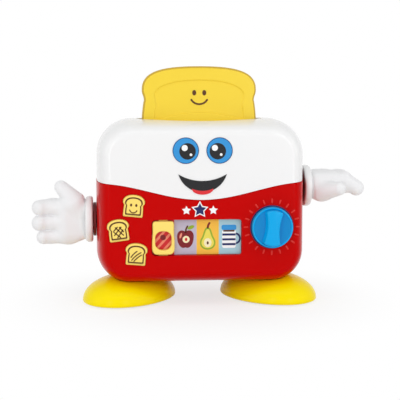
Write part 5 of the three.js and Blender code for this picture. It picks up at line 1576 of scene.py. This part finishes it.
@dataclass
class Arms:
    """Two glove hands on cuffs, with a disc between each cuff and the casing, painted dark red as painted
    shade.
    """

    size: float = 49.2
    hand_start: float = 105.3
    cuff_start: float = 98.0
    cuff_length: float = 6.9
    cuff_radius: float = 21.35
    cuff_flat: float = 0.9
    disc_radius: float = 15.5
    right_disc: Pair = (95.8, 96.6)
    left_disc: Pair = (95.1, 97.7)
    lever_z: float = 104.9
    left_z: float = 75.4
    grain: float = 0.85
    tuck: float = 1.4
    right_shift: float = -1.2
    bore: float = 4.3
    bore_depth: float = 15.0
    palm: Point = (0.33, 0.25, 0.452)
    palm_round: float = 0.23

    @staticmethod
    def near_line(grid: np.ndarray, start: Sequence[float], end: Sequence[float], first: float,
                  last: float) -> np.ndarray:
        """Measure how far a grid's points are from a tapered finger joint.

        Args:
            grid: The points, in shares of the hand's length.
            start: The joint's start.
            end: The joint's end.
            first: Its radius at the start.
            last: Its radius at the end.

        Returns:
            The distances, negative inside.
        """
        begin, way = np.array(start), np.array(end) - np.array(start)
        share = np.clip((grid - begin) @ way / (way @ way), 0, 1)
        return np.linalg.norm(grid - begin - share[..., None] * way, axis=-1) - first - (last - first) * share

    def fingers(self, grid: np.ndarray) -> np.ndarray:
        """Measure how far a grid's points are from the three fingers, which bend at the knuckle.

        Args:
            grid: The points, in shares of the hand's length.

        Returns:
            The distances, negative inside.
        """
        joined = None
        for z, bend, reach, drop, radius in ((0.2, 0.225, 0.845, -0.03, 0.148),
                                             (-0.06, -0.065, 0.85, -0.03, 0.15),
                                             (-0.31, -0.335, 0.785, -0.02, 0.13)):
            knuckle = (0.6, 0.135, bend)
            inner = self.near_line(grid, (0.2, 0.0, z), (0.62, 0.015, bend), radius + 0.02, radius - 0.004)
            middle = self.near_line(grid, (0.3, 0.13, z), knuckle, radius, radius)
            outer = self.near_line(grid, knuckle, (reach, drop, bend), radius, radius * 0.99)
            finger = melted(melted(inner, middle, 0.05), outer, 0.06)
            joined = finger if joined is None else melted(joined, finger, 0.022)
        return joined

    def hand(self) -> Shape:
        """Make a glove hand: fingers along X, thumb up, palm to the front.

        Returns:
            The hand, with a bore for its shaft.
        """
        step = self.grain / self.size
        spans = [np.arange(low, high, step) for low, high in ((-0.12, 1.12), (-0.42, 0.46), (-0.62, 0.84))]
        grid = np.stack(np.meshgrid(*spans, indexing="ij"), -1)
        corner = np.abs(grid - (0.22, 0.04, -0.02)) - (np.array(self.palm) - self.palm_round)
        palm = np.linalg.norm(np.maximum(corner, 0), axis=-1) - self.palm_round
        joined = melted(self.fingers(grid), palm, 0.065)
        ball = self.near_line(grid, (0.1, -0.045, 0.2), (0.24, -0.07, 0.3), 0.2, 0.18)
        thumb = self.near_line(grid, (0.16, -0.08, 0.32), (0.44, 0.0, 0.605), 0.195, 0.128)
        joined = melted(joined, melted(ball, thumb, 0.05), 0.07)
        widen = np.where(grid[..., 2] > 0, 3.0, 0.4)
        wrist = np.hypot(grid[..., 1] / 0.88, grid[..., 2]) - 0.375 - widen * np.maximum(grid[..., 0], 0)
        joined = np.maximum(joined, wrist * 0.3)
        skinned = surface_of(joined, np.array([span[0] for span in spans]), step)
        shape = Shape(skinned.points * self.size, skinned.faces)
        reach = self.size * 2
        keep = plate(rounded_box(reach / 2 - self.tuck, 0, reach, reach, 1), -reach, reach)
        bore = turned([(self.bore, -4), (self.bore, self.bore_depth)], "X", (0, 0, 0), 32)
        return shape.cut(keep, operation="INTERSECT").cut(bore)

    def cuff(self) -> Shape:
        """Make a cuff: a thick rolled ring.

        Returns:
            The cuff, which starts at zero.
        """
        shares = [(0.9, 0.0), (0.955, 0.04), (0.985, 0.14), (1.0, 0.3), (1.0, 0.52), (0.99, 0.68),
                  (0.97, 0.81), (0.94, 0.91), (0.9, 0.97), (0.84, 1.0)]
        roll = [(r * self.cuff_radius, a * self.cuff_length) for r, a in shares]
        profile = [(self.bore, 0.0), *roll, (self.bore, self.cuff_length)]
        ring = turned(profile, "X", (0, 0, 0), 96, looped=True)
        return ring.moved(Matrix.Diagonal((1, self.cuff_flat, 1, 1)))

    def shoulder(self, start: float, end: float) -> Shape:
        """Make the disc that a cuff turns against, painted dark red as painted shade.

        Args:
            start: Where it starts along X.
            end: Where it ends.

        Returns:
            The disc.
        """
        radius = self.disc_radius
        profile = [(self.bore, start), (radius, start), (radius, end - 0.5), (radius - 0.15, end - 0.2),
                   (radius - 0.5, end), (self.bore, end)]
        return turned(profile, "X", (0, 0, 0), 96, looped=True)

    def build(self) -> None:
        """Make both arms."""
        hand, cuff = self.hand(), self.cuff()
        forward, mirror = Matrix.Rotation(math.pi / 2, 4, "X"), Matrix.Diagonal((-1, 1, 1, 1))
        for side, turn, way, shift, z in (("right", forward, 1, self.right_shift, self.lever_z),
                                          ("left", mirror, -1, 0.0, self.left_z)):
            for name, part, shape, start, paint in (("glove", "hand", hand, self.hand_start, Paint.GLOVE),
                                                    ("roll", "cuff", cuff, self.cuff_start, Paint.WHITE)):
                placed = shape.moved(Matrix.Translation((way * start + shift, 0, z)) @ turn)
                Bench.place(placed, f"{side}_{name}", f"{side}_arm", [paint], [f"{side}_{part}"], crease=50)
        # The shoulder discs take the dark red, which paints the shade between each cuff and the casing.
        for side, body, span, turn, z in (("right", "toast_lift", self.right_disc, Matrix(), self.lever_z),
                                          ("left", "casing", self.left_disc, mirror, self.left_z)):
            shoulder = self.shoulder(*span).moved(Matrix.Translation((0, 0, z)) @ turn)
            Bench.place(shoulder, f"{side}_shoulder", body, [Paint.DARK_RED], [f"{side}_shoulder_disc"])


@dataclass
class Feet:
    """Two wide dome feet, turned outwards, that the casing sits down into."""

    half_length: float = 51.8
    half_width: float = 38.3
    splay: float = 35.0
    x: float = 64.8
    y: float = -1.0
    height: float = 25.0
    rim: float = 3.0
    tuck: float = 13.0
    sides: int = 120
    clearance: float = 0.4
    screw_radius: float = 4.2
    screw_place: Point = (62.0, -16.0, 0.0)

    def ring(self, grow: float, z: float) -> Ring:
        """Give one ring of the right foot.

        Args:
            grow: How far it moves out.
            z: Its height.

        Returns:
            The ring.
        """
        angles = np.linspace(0, 2 * math.pi, self.sides, endpoint=False)
        along = (self.half_length + grow) * np.cos(angles)
        across = (self.half_width + grow) * np.sin(angles)
        sine, cosine = math.sin(math.radians(self.splay)), math.cos(math.radians(self.splay))
        x = self.x + along * sine + across * cosine
        y = self.y - along * cosine + across * sine
        return np.stack([x, y, np.full(len(x), z)], 1)

    def dome(self) -> Shape:
        """Make the right foot, cut to the casing's underside.

        Returns:
            The foot, with a hole for its screw.
        """
        rings = [self.ring(-self.tuck, 0.0)]
        for angle in np.radians(np.linspace(0, 80, 9)):
            rings.append(self.ring(-self.tuck * (1 - math.sin(angle)), self.rim * (1 - math.cos(angle))))
        for angle in np.radians(np.linspace(0, 84, 26)):
            grow = self.half_width * (math.cos(angle) - 1)
            rings.append(self.ring(grow, self.rim + (self.height - self.rim) * math.sin(angle)))
        hole = turned([(self.screw_radius, -1), (self.screw_radius, 3)], "Z", self.screw_place, 32)
        return loft(rings).cut(Casing().solid(self.clearance)).cut(hole).softened(0.3, 45)

    def build(self) -> None:
        """Make both feet."""
        foot = self.dome()
        for side, way in (("right", 1), ("left", -1)):
            mirrored = foot.moved(Matrix.Diagonal((way, 1, 1, 1)))
            Bench.place(mirrored, f"{side}_foot_dome", "casing", [Paint.FOOT], [f"{side}_foot"])


@dataclass
class Face:
    """The printed face and the star badge: plain forms of the toaster's own."""

    eye_x: float = 15.0
    eye_z: float = 141.4
    front: float = -44.0
    badge: Pair = (-2.4, 88.6)
    badge_front: float = -43.3
    smile_half: float = 21.5
    smile_corner: float = 120.4
    smile_depth: float = 16.1
    smile_dip: float = 6.0

    def star(self, x: float, z: float, radius: float, inner: float = 0.52) -> Ring:
        """Outline a five-pointed star.

        Args:
            x: The middle's x.
            z: The middle's z.
            radius: How far its points reach.
            inner: The share of that at which the points meet.

        Returns:
            The outline.
        """
        outline = Outline(x, z + radius)
        for k in range(1, 10):
            angle = math.radians(90 + 36 * k)
            reach = radius * (inner if k % 2 else 1.0)
            outline.line(x + reach * math.cos(angle), z + reach * math.sin(angle))
        return outline.closed()

    def build(self) -> None:
        """Make the eyes, the smile and the stars."""
        for side, x in (("left", -self.eye_x), ("right", self.eye_x)):
            lean = -1.6 if side == "right" else 1.6
            layers = (("ring", disc(x, self.eye_z, 23.4, count=96), 0.0, 0.4, Paint.INK_DEEP),
                      ("iris", disc(x, self.eye_z, 22.0, count=96), 0.4, 0.5, Paint.INK_BLUE),
                      ("pupil", disc(x + lean, self.eye_z - 0.6, 14.6, count=72), 0.5, 0.6, Paint.INK_BLACK),
                      ("glint", disc(x + lean - 2.6, self.eye_z + 2.4, 5.4, count=48), 0.6, 0.7,
                       Paint.INK_WHITE),
                      ("spark", disc(x + lean + 3.0, self.eye_z - 3.6, 2.4, count=36), 0.6, 0.7,
                       Paint.INK_WHITE))
            for name, ring, low, high, paint in layers:
                rounding = min(0.12, high - low - 0.02)
                shape = plate(ring, self.front - high, self.front - low, rounding, steps=3)
                replaces = [f"{side}_eye_label"] if name == "ring" else []
                Bench.place(shape, f"{side}_eye_{name}", "casing", [paint], replaces)
        self.smile()
        big, front = self.star(*self.badge, 8.0), self.badge_front
        rim = plate(big, front - 0.4, front, 0.12)
        Bench.place(rim, "star_badge_rim", "casing", [Paint.INK_WHITE], ["star_badge"])
        face = plate(inset(big, 1.0), front - 0.55, front - 0.4, 0.08)
        Bench.place(face, "star_badge_face", "casing", [Paint.INK_NAVY])
        for name, x in (("small_star_1", -14.4), ("small_star_2", 9.6)):
            small = plate(self.star(x, self.badge[1] - 0.6, 4.2), front - 0.3, front, 0.1)
            Bench.place(small, name, "casing", [Paint.INK_WHITE])

    def grin(self, shrink: float) -> Ring:
        """Outline the open smile: a crescent between two arcs.

        Args:
            shrink: How far each arc is drawn in.

        Returns:
            The outline.
        """
        half = self.smile_half
        points = []
        for depth, way in ((self.smile_depth, 1), (self.smile_dip, -1)):
            radius = (half ** 2 + depth ** 2) / (2 * depth)
            turn = math.asin(half / radius)
            middle = self.smile_corner + radius - depth + way * shrink
            for angle in np.linspace(-turn, turn, 48)[::way]:
                points.append((radius * math.sin(angle), middle - radius * math.cos(angle)))
        outline = Outline(*points[0])
        for point in points[1:]:
            outline.line(*point)
        return outline.closed()

    def smile(self) -> None:
        """Make the open smile: a dark crescent with a red tongue."""
        mouth = plate(self.grin(0), self.front - 0.4, self.front)
        Bench.place(mouth, "smile_mouth", "casing", [Paint.INK_BLACK], ["smile_label"])
        tongue = plate(disc(0, 107.4, 19.0, 10.4, 60), self.front - 0.5, self.front - 0.4)
        tongue = tongue.cut(plate(self.grin(1.3), self.front - 2, self.front), operation="INTERSECT")
        Bench.place(tongue, "smile_tongue", "casing", [Paint.INK_TONGUE])


@dataclass
class PushButton:
    """One bread button, with its place, its tilt and the lines drawn on it."""

    node: str
    body: str
    x: float
    z: float
    tilt: float
    width: float = 19.5
    height: float = 19.6
    front: float = -45.6
    flange: float = 1.3
    line: float = 1.25
    border: float = 1.8
    hole_end: float = -36.7
    cap_back: float = -39.3
    cap_round: float = 1.3
    stem_radius: float = 3.0
    clearance: float = 0.4
    pen: float = 1.0
    bread: Bread = Bread(waist=0.36, notch=0.5, lobe=0.66, body=0.89)

    def outline(self, grow: float) -> Ring:
        """Give the button's outline, grown on every side and tilted in its place."""
        ring = self.bread.outline(self.width + 2 * grow, self.height + 2 * grow, self.x,
                                  self.z - self.height / 2 - grow)
        return tilted(ring, (self.x, self.z), self.tilt)

    def hole(self) -> Shape:
        """Give the hole that the button moves in."""
        return plate(self.outline(self.clearance), -47, self.hole_end)

    def motif(self) -> list[Ring]:
        """Draw the button's own lines round its middle.

        Returns:
            The outline of each line or dot.
        """
        if self.node == "smile_button":
            arc = [(3.4 * math.cos(a), -1.5 + 3.4 * math.sin(a))
                   for a in np.radians(np.linspace(200, 340, 16))]
            return [disc(-2.3, 1.9, 1.9, 2.7, 24), disc(2.3, 1.9, 1.9, 2.7, 24), stroke(arc, self.pen)]
        if self.node == "lattice_button":
            rows = [[(-3.9, -2.8), (2.6, 3.9)], [(-1.4, -5.2), (4.0, 1.2)], [(-4.2, 1.0), (-0.6, 4.2)],
                    [(4.0, -3.6), (-2.4, 4.0)], [(1.2, -5.3), (-4.2, 0.2)], [(4.3, -0.4), (1.2, 3.9)]]
        else:
            rows = [[(-4.4, -1.8), (-2.2, 1.4), (0.4, 3.8)], [(-3.6, -4.4), (-0.4, -0.4), (4.0, 3.0)],
                    [(-1.6, -5.2), (1.2, -2.0), (4.6, 0.8)]]
        return [stroke(self.bowed(row), self.pen) for row in rows]

    @staticmethod
    def bowed(row: Sequence[Pair]) -> list[Pair]:
        """Draw a smooth line through a stroke's few points.

        Args:
            row: The points in X and Z.

        Returns:
            The line's points.
        """
        places, wanted = np.linspace(0, 1, len(row)), np.linspace(0, 1, 9)
        fits = [np.polyfit(places, values, len(row) - 1) for values in zip(*row)]
        across, upward = [np.polyval(fit, wanted) for fit in fits]
        return list(zip(across, upward))

    def build(self) -> None:
        """Make the button and its printed lines."""
        cap = plate(self.outline(0), self.front, self.cap_back, self.cap_round, steps=6)
        stem = turned([(self.stem_radius, -39.4), (self.stem_radius, -36.0)], "Y", (self.x, 0, self.z), 32)
        flange = plate(self.outline(self.flange), self.cap_back - 1.25, self.cap_back + 0.05)
        flange = flange.cut(Casing().solid(3.4), operation="INTERSECT")
        button = Shape.together([cap, flange, stem])
        Bench.place(button, f"{self.node}_cap", self.body, [Paint.BREAD], [self.node])
        outer, inner = self.outline(-self.border), self.outline(-self.border - self.line)
        low, high = self.front + 0.05, self.front - 0.14
        band = [at_depth(outer, low), at_depth(outer, high), at_depth(inner, high), at_depth(inner, low)]
        lines = [plate(tilted(ring + (self.x, self.z - 1.0), (self.x, self.z), self.tilt), high, low)
                 for ring in self.motif()]
        lines.insert(0, loft(band, looped=True))
        Bench.place(Shape.together(lines), f"{self.node}_lines", self.body, [Paint.INK_BROWN])


Layer = tuple[str, Ring, float, Paint]


class Pictures:
    """The layers of the four pictures round their middles: name, outline, how proud and ink."""

    @staticmethod
    def olive() -> list[Layer]:
        """Draw four leaning stripes and an olive, from the back to the front."""
        stripes = [(f"stripe_{k}", tilted(rounded_box(-8 + 5.4 * k, -2, 2.1, 17, 0.9), (0, 0), -42), 0.12,
                    Paint.INK_PINK) for k in range(4)]
        return [*stripes, ("olive", disc(0, -0.2, 5.0), 0.2, Paint.INK_WINE)]

    @staticmethod
    def apple() -> list[Layer]:
        """Draw a cut apple with its stem and a leaf.

        Returns:
            The layers from the back to the front.
        """
        apple = Outline(0, 4.6, 16).curve((3.2, 7.6), (8.2, 5.6), (7.4, -1.0))
        apple.curve((7.0, -7.6), (3.2, -11.4), (0, -9.4)).mirrored(0)
        stem = stroke([(0.2, 4.4), (0.6, 7.2), (1.8, 9.6)], 1.5)
        leaf = tilted(disc(4.9, 8.6, 6.4, 3.2), (4.9, 8.6), 24)
        shine = tilted(disc(-4.2, 1.2, 1.9, 5.2), (-4.2, 1.2), -18)
        return [("apple", apple.closed(), 0.12, Paint.INK_WINE), ("stem", stem, 0.12, Paint.INK_BROWN),
                ("leaf", leaf, 0.12, Paint.INK_GREEN), ("heart", disc(0.6, -2.2, 6.4), 0.2, Paint.INK_CREAM),
                ("seed", disc(0.6, -2.2, 2.2, 3.2), 0.26, Paint.INK_RED),
                ("shine", shine, 0.2, Paint.INK_PINK)]

    @staticmethod
    def pear() -> list[Layer]:
        """Draw a cut pear with its stem.

        Returns:
            The layers from the back to the front.
        """
        pear = Outline(0, 8.4, 16).curve((3.6, 8.6), (3.2, 2.8), (5.8, -1.4))
        body = pear.curve((8.8, -6.6), (5.8, -11.8), (0, -11.8)).mirrored(0).closed()
        stem = stroke([(0, 8.2), (0.4, 10.4), (1.6, 12.4)], 1.8)
        return [("pear", body, 0.12, Paint.INK_GREEN), ("flesh", inset(body, 1.4), 0.2, Paint.INK_YELLOW),
                ("core", disc(0, -5.4, 6.8, 8.2), 0.26, Paint.INK_CREAM),
                ("pip", disc(0, -5.6, 1.9, 3.0), 0.32, Paint.INK_BROWN), ("stem", stem, 0.12, Paint.INK_WINE)]

    @staticmethod
    def mug() -> list[Layer]:
        """Draw a striped mug with a lid.

        Returns:
            The layers from the back to the front.
        """
        handle = stroke([(5.0 + 4.0 * math.sin(a), -1.8 + 4.4 * math.cos(a))
                         for a in np.linspace(0.2, math.pi - 0.2, 16)], 1.7)
        mug = rounded_box(-0.9, -2.2, 12.4, 16.4, 1.8)
        bands = [(f"band_{k}", rounded_box(-0.9, -7.0 + 4.4 * k, 12.0, 2.0, 0.3), 0.2, Paint.INK_NAVY)
                 for k in range(3)]
        return [("handle", handle, 0.12, Paint.INK_NAVY), ("mug", mug, 0.16, Paint.INK_WHITE), *bands,
                ("lid", rounded_box(-0.9, 8.3, 13.4, 4.6, 1.6), 0.2, Paint.INK_BLUE),
                ("cocoa", rounded_box(-0.9, 5.2, 10.4, 1.6, 0.7), 0.26, Paint.INK_BROWN)]


@dataclass
class PicturePanel:
    """The window with its four pictures and the bread slider that runs over them."""

    x: float = -5.05
    z: float = 63.55
    width: float = 81.0
    height: float = 32.4
    radius: float = 3.6
    slider_width: float = 20.2
    slider_height: float = 29.9
    slider_x: float = -35.05
    slider_front: float = -45.2
    slider_back: float = -39.65
    slider_round: float = 1.4
    oval: Point = (14.7, 17.1, 6.17)
    oval_drop: float = 2.4
    oval_round: float = 0.8
    rays: int = 160
    floor: float = -38.9
    margin: float = 0.8
    grounds: tuple[Paint, ...] = (Paint.INK_RED, Paint.INK_LILAC, Paint.INK_ORANGE, Paint.INK_SKY)

    def hole(self) -> Shape:
        """Give the window's opening."""
        return plate(rounded_box(self.x, self.z, self.width, self.height, self.radius), -46, -39.9)

    def slider(self) -> Shape:
        """Make the bread slider with its oval hole.

        Returns:
            The slider.
        """
        centre = (self.slider_x, self.z - self.oval_drop)
        outer = by_angle(self.slider_outline(), centre, self.rays)
        hole = by_angle(rounded_box(*centre, *self.oval), centre, self.rays)
        rings = [at_depth(outer, self.slider_back)]
        for ring, size, way, degrees in ((outer, self.slider_round, 1, np.linspace(0, 90, 6)),
                                         (hole, self.oval_round, -1, np.linspace(90, 0, 5))):
            for angle in np.radians(degrees):
                rings.append(at_depth(inset(ring, way * size * (1 - math.cos(angle))),
                                      self.slider_front + size * (1 - math.sin(angle))))
        rings.append(at_depth(hole, self.slider_back))
        return loft(rings, looped=True)

    def slider_outline(self) -> Ring:
        """Outline the slider: square above, and a little wider round its oval hole.

        Returns:
            The outline.
        """
        x, half, tall = self.slider_x, self.slider_width / 2, self.slider_height
        base, upper, neck = self.z - tall / 2, x + 0.95 * half, x + 0.94 * half
        path = Outline(x, base).line(x + half - 5, base).curve((x + half, base), (x + half, base + 6.5))
        path.curve((x + half, base + 0.5 * tall), (neck, base + 0.56 * tall), (neck, base + 0.68 * tall))
        path.line(upper, base + tall - 3).curve((upper, base + tall), (upper - 3, base + tall))
        return path.mirrored(x).closed()

    def guides(self) -> list[Shape]:
        """Make the slider's tabs and legs behind the window's edge.

        Returns:
            A tab and a leg below and above.
        """
        made = []
        for side in (-1, 1):
            edge = self.z + side * self.slider_height / 2
            tab = rounded_box(self.slider_x, edge + side * 0.9, 8, 4.8, 0.4)
            leg = rounded_box(self.slider_x, edge + side * 2.7, 8, 1.2, 0.3)
            made += [plate(tab, -40.45, self.slider_back), plate(leg, -40.4, -36.9)]
        return made

    def build(self) -> None:
        """Make the slider, the grounds of the pictures and the pictures."""
        slider = Shape.together([self.slider(), *self.guides()])
        Bench.place(slider, "bread_slider", "slider", [Paint.BREAD], ["picture_slider"])
        run = self.width - self.margin
        cell = run / len(self.grounds)
        drawings = (Pictures.olive, Pictures.apple, Pictures.pear, Pictures.mug)
        for number, (paint, drawing) in enumerate(zip(self.grounds, drawings)):
            x = self.x - run / 2 + cell * (number + 0.5)
            ground = plate(rounded_box(x, self.z, cell, self.height - 0.6, 0.2), self.floor, self.floor + 0.4)
            replaces = ["picture_strip"] if number == 0 else []
            Bench.place(ground, f"picture_ground_{number + 1}", "casing", [paint], replaces)
            for name, outline, proud, ink in drawing():
                shape = plate(outline + (x, self.z), self.floor - proud, self.floor, 0.05, steps=2)
                Bench.place(shape, f"picture_{number + 1}_{name}", "casing", [ink])
        Bench.coat(Paint.RED, "picture_tray")
        Bench.coat(Paint.BLACK, "slider_bridge")
        Bench.coat(Paint.BOARD, "slider_board", "button_board", "main_board")


@dataclass
class TimerKnob:
    """The blue timer knob with its waisted grip, and the raised marks round it."""

    x: float = 62.4
    z: float = 72.4
    radius: float = 18.5
    base: float = -43.6
    face: float = -49.8
    dish: float = 0.8
    grip: float = 7.2
    length: float = 32.0
    end: float = 7.4
    waist: float = 5.7
    grip_grain: float = 0.34
    tilt: float = -5.0
    front: float = -43.3
    marks: int = 20
    mark_reach: float = 23.4
    mark_length: float = 4.6
    mark_width: float = 0.75
    mark_flat: float = 0.45
    hub: float = 6.0
    hub_end: float = -38.2
    flat_round: float = 1.6
    crown_round: float = 0.3

    def hole(self) -> Shape:
        """Give the hole for the knob's hub."""
        return turned([(self.hub + 0.4, -46), (self.hub + 0.4, -38)], "Y", (self.x, 0, self.z), 48)

    def disc(self) -> Shape:
        """Make the dished disc and its hub.

        Returns:
            The disc, with the second paint in its dish: a darker blue that paints the dish's shade.
        """
        r, face, floor = self.radius, self.face, self.face + self.dish
        profile = [(self.hub, self.hub_end), (self.hub, self.base), (r - 0.5, self.base),
                   (r - 0.12, self.base - 0.15), (r, self.base - 0.6), (r - 0.25, face + 0.9),
                   (r - 0.35, face + 0.4), (r - 0.6, face + 0.1), (r - 1.0, face), (r - 1.4, face + 0.1),
                   (r - 1.8, face + 0.45), (r - 2.3, floor), (0.4, floor)]
        # The last two bands, the dish floor, take the darker blue as painted shade.
        return turned(profile, "Y", (self.x, 0, self.z), 128, inks=[0] * 10 + [1] * 2)

    def handle(self) -> Shape:
        """Make the waisted grip across the disc, wider at both ends and soft at every edge.

        Returns:
            The grip.
        """
        half, step, edge = self.length / 2, self.grip_grain, self.flat_round
        spans = [np.arange(low, high, step) for low, high in
                 ((-self.end - 2, self.end + 2), (-self.grip - 2, 3.0), (-half - 2, half + 2))]
        across, depth, along = np.meshgrid(*spans, indexing="ij")
        sides = self.waist + (self.end - self.waist) * np.clip(np.abs(along) / (0.8 * half), 0, 1.1) ** 2
        flank = (np.abs(across) - sides - 0.22 * depth - 0.9) * 0.93
        ends = np.hypot(along, across) - half
        crown = -depth - self.grip + 0.012 * across ** 2
        cap = soft_most(crown, depth - 2.0, self.crown_round)
        field = soft_most(soft_most(flank, ends, edge), cap, edge)
        skinned = surface_of(field, np.array([span[0] for span in spans]), step)
        lift = Matrix.Translation((self.x, self.face + self.dish, self.z))
        return skinned.moved(lift @ Matrix.Rotation(math.radians(-self.tilt), 4, "Y"))

    def build(self) -> None:
        """Make the knob, a thin navy ring round it that paints its shadow, and the raised marks."""
        Bench.place(self.disc(), "timer_knob_disc", "knob", [Paint.BLUE, Paint.DEEP_BLUE], ["timer_knob"])
        Bench.place(self.handle(), "timer_knob_grip", "knob", [Paint.BLUE], crease=70)
        # A thin navy ink ring round the knob's rim paints the shadow in the gap at its base.
        inner, outer = self.radius - 1.2, self.radius + 1.15
        low, high = self.front + 0.1, self.front - 0.12
        profile = [(inner, low), (outer, low), (outer, high), (inner, high)]
        gap = turned(profile, "Y", (self.x, 0, self.z), 128, looped=True)
        Bench.place(gap, "timer_knob_shadow_ring", "casing", [Paint.INK_NAVY])
        # The raised marks are painted a lighter red than the casing as a painted highlight.
        marks = Pattern.grow(Pattern.ring(), Paint.RED_MARK, Count=self.marks, Radius=self.mark_reach,
                             Length=self.mark_length, Thickness=self.mark_width)
        place = Matrix.Translation((self.x, self.front, self.z)) @ Matrix.Rotation(math.pi / 2, 4, "X")
        flat = place @ Matrix.Diagonal((1, 1, self.mark_flat, 1))
        Bench.place(marks.moved(flat), "timer_marks", "casing", [Paint.RED_MARK], crease=60)
        Bench.coat(Paint.GREY, "knob_detent_wheel")
        Bench.coat(Paint.STEEL, "knob_screw", "knob_detent_spring")


@dataclass
class Studio:
    """The floor, the light and the camera."""

    view_azimuth: float = -4.5
    view_elevation: float = 7.0
    distance: float = 1000.0
    target_x: float = 1.1
    target_z: float = 92.0
    pixel: float = 0.93
    picture: int = 400
    sensor: float = 36.0
    room: float = 0.57
    lamp_power: float = 1.5
    lamp_distance: float = 1.1
    lamp_target: Point = (0.0, 0.0, 0.1)
    floor_reach: float = 6.0
    shadow_near: float = 0.05
    shadow_far: float = 0.2
    shadow_white: float = 0.7
    lamps: tuple[tuple[str, float, float, float, float], ...] = (
        ("left_strip", -26, 10, 0.2, 0.7), ("right_strip", 21, 10, 0.2, 0.7), ("left_box", -68, 18, 0.8, 0.8),
        ("right_box", 66, 18, 0.8, 0.8), ("top_box", 0, 62, 1.2, 0.4))

    @staticmethod
    def aim(thing: Thing, azimuth: float, elevation: float, target: Vector, distance: float) -> None:
        """Put a camera or a lamp round a target, and turn it to face it.

        Args:
            thing: The camera or lamp.
            azimuth: Its direction round the target in degrees, 0 in front.
            elevation: Its height in degrees.
            target: The target.
            distance: How far off it is in metres.
        """
        around, up = math.radians(azimuth), math.radians(elevation)
        back = Vector((math.sin(around) * math.cos(up), -math.cos(around) * math.cos(up), math.sin(up)))
        thing.location = target + back * distance
        thing.rotation_mode = "QUATERNION"
        thing.rotation_quaternion = (-back).to_track_quat("-Z", "Y")

    def camera(self) -> None:
        """Put the camera where the photograph was taken from."""
        data = bpy.data.cameras.new("camera")
        data.sensor_width = self.sensor
        data.lens = self.sensor * self.distance / (self.pixel * self.picture)
        data.clip_start, data.clip_end = 0.01, 50.0
        camera = linked("camera", data)
        target = Vector((self.target_x, MIDDLE_Y, self.target_z)) * MILLIMETRE
        self.aim(camera, self.view_azimuth, self.view_elevation, target, self.distance * MILLIMETRE)
        bpy.context.scene.camera = camera

    @staticmethod
    def shown_white(graph: Graph) -> Socket:
        """Give 1 for rays that show the background: camera, glossy and transmission.

        Args:
            graph: The material's or the world's tree.

        Returns:
            The output.
        """
        path = graph.node("ShaderNodeLightPath")
        first = graph.math("MAXIMUM", path.outputs["Is Camera Ray"], path.outputs["Is Glossy Ray"])
        return graph.math("MAXIMUM", first, path.outputs["Is Transmission Ray"])

    def world(self) -> None:
        """Light the room softly, and show it white behind the toaster."""
        world = bpy.data.worlds.new("studio")
        world.use_nodes = True
        graph = Graph(world.node_tree)
        world.node_tree.nodes.clear()
        strength = graph.math("MAXIMUM", self.shown_white(graph), self.room)
        room = graph.node("ShaderNodeBackground", Color=(1, 1, 1, 1), Strength=strength)
        graph.node("ShaderNodeOutputWorld", Surface=room.outputs[0])
        bpy.context.scene.world = world

    def floor(self) -> None:
        """Lay a white floor that keeps the shadow near the toaster and fades to white."""
        mesh = bpy.data.meshes.new("floor")
        corners = [(x * self.floor_reach, y * self.floor_reach, 0)
                   for x, y in ((-1, -1), (1, -1), (1, 1), (-1, 1))]
        mesh.from_pydata(corners, [], [(0, 1, 2, 3)])
        made = bpy.data.materials.new("studio_floor")
        made.use_nodes = True
        graph = Graph(made.node_tree)
        made.node_tree.nodes.clear()
        length = graph.node("ShaderNodeVectorMath", {"operation": "LENGTH"})
        graph.feed(length.inputs[0], graph.node("ShaderNodeTexCoord").outputs["Object"])
        fade = graph.node("ShaderNodeMapRange", {"interpolation_type": "SMOOTHSTEP"},
                          Value=length.outputs["Value"], From_Min=self.shadow_near, From_Max=self.shadow_far,
                          To_Min=self.shadow_white)
        amount = graph.math("MULTIPLY", self.shown_white(graph), fade.outputs[0])
        matte = graph.node("ShaderNodeBsdfDiffuse", Color=(0.95, 0.95, 0.95, 1))
        glow = graph.node("ShaderNodeEmission", Color=(1, 1, 1, 1), Strength=1.0)
        mixed = graph.node("ShaderNodeMixShader")
        for number, value in enumerate((amount, matte.outputs[0], glow.outputs[0])):
            graph.feed(mixed.inputs[number], value)
        graph.node("ShaderNodeOutputMaterial", Surface=mixed.outputs[0])
        mesh.materials.append(made)
        linked("floor", mesh)

    def build(self) -> None:
        """Set up the room: the camera, the world, the floor and the softboxes."""
        self.camera()
        self.world()
        self.floor()
        for name, azimuth, elevation, width, height in self.lamps:
            data = bpy.data.lights.new(name, "AREA")
            data.shape, data.size, data.size_y, data.energy = "RECTANGLE", width, height, self.lamp_power
            self.aim(linked(name, data), azimuth, elevation, Vector(self.lamp_target), self.lamp_distance)
        bpy.context.scene.view_settings.view_transform = "Standard"


def main() -> None:
    """Build the room, then the toaster from its casing to its smallest parts."""
    logging.basicConfig(level=logging.INFO, format="%(name)s: %(message)s")
    Studio().build()
    knob, panel = TimerKnob(), PicturePanel()
    buttons = [PushButton("smile_button", "smile_key", -61.3, 92.6, -5.7),
               PushButton("lattice_button", "lattice_key", -74.9, 70.9, 7.0),
               PushButton("stripe_button", "stripe_key", -59.3, 49.3, -5.0)]
    holes = {"front_lower_shell": [panel.hole(), knob.hole(), *[button.hole() for button in buttons]]}
    back = Back()
    holes["rear_upper_shell"], holes["rear_lower_shell"] = back.upper_cuts(), back.lower_cuts()
    Casing().build(holes)
    back.build()
    ToastLift().build()
    Arms().build()
    Feet().build()
    Face().build()
    for part in (panel, knob, *buttons):
        part.build()
    LOG.info("%d pieces made", Bench.count)


if __name__ == "__main__":
    main()
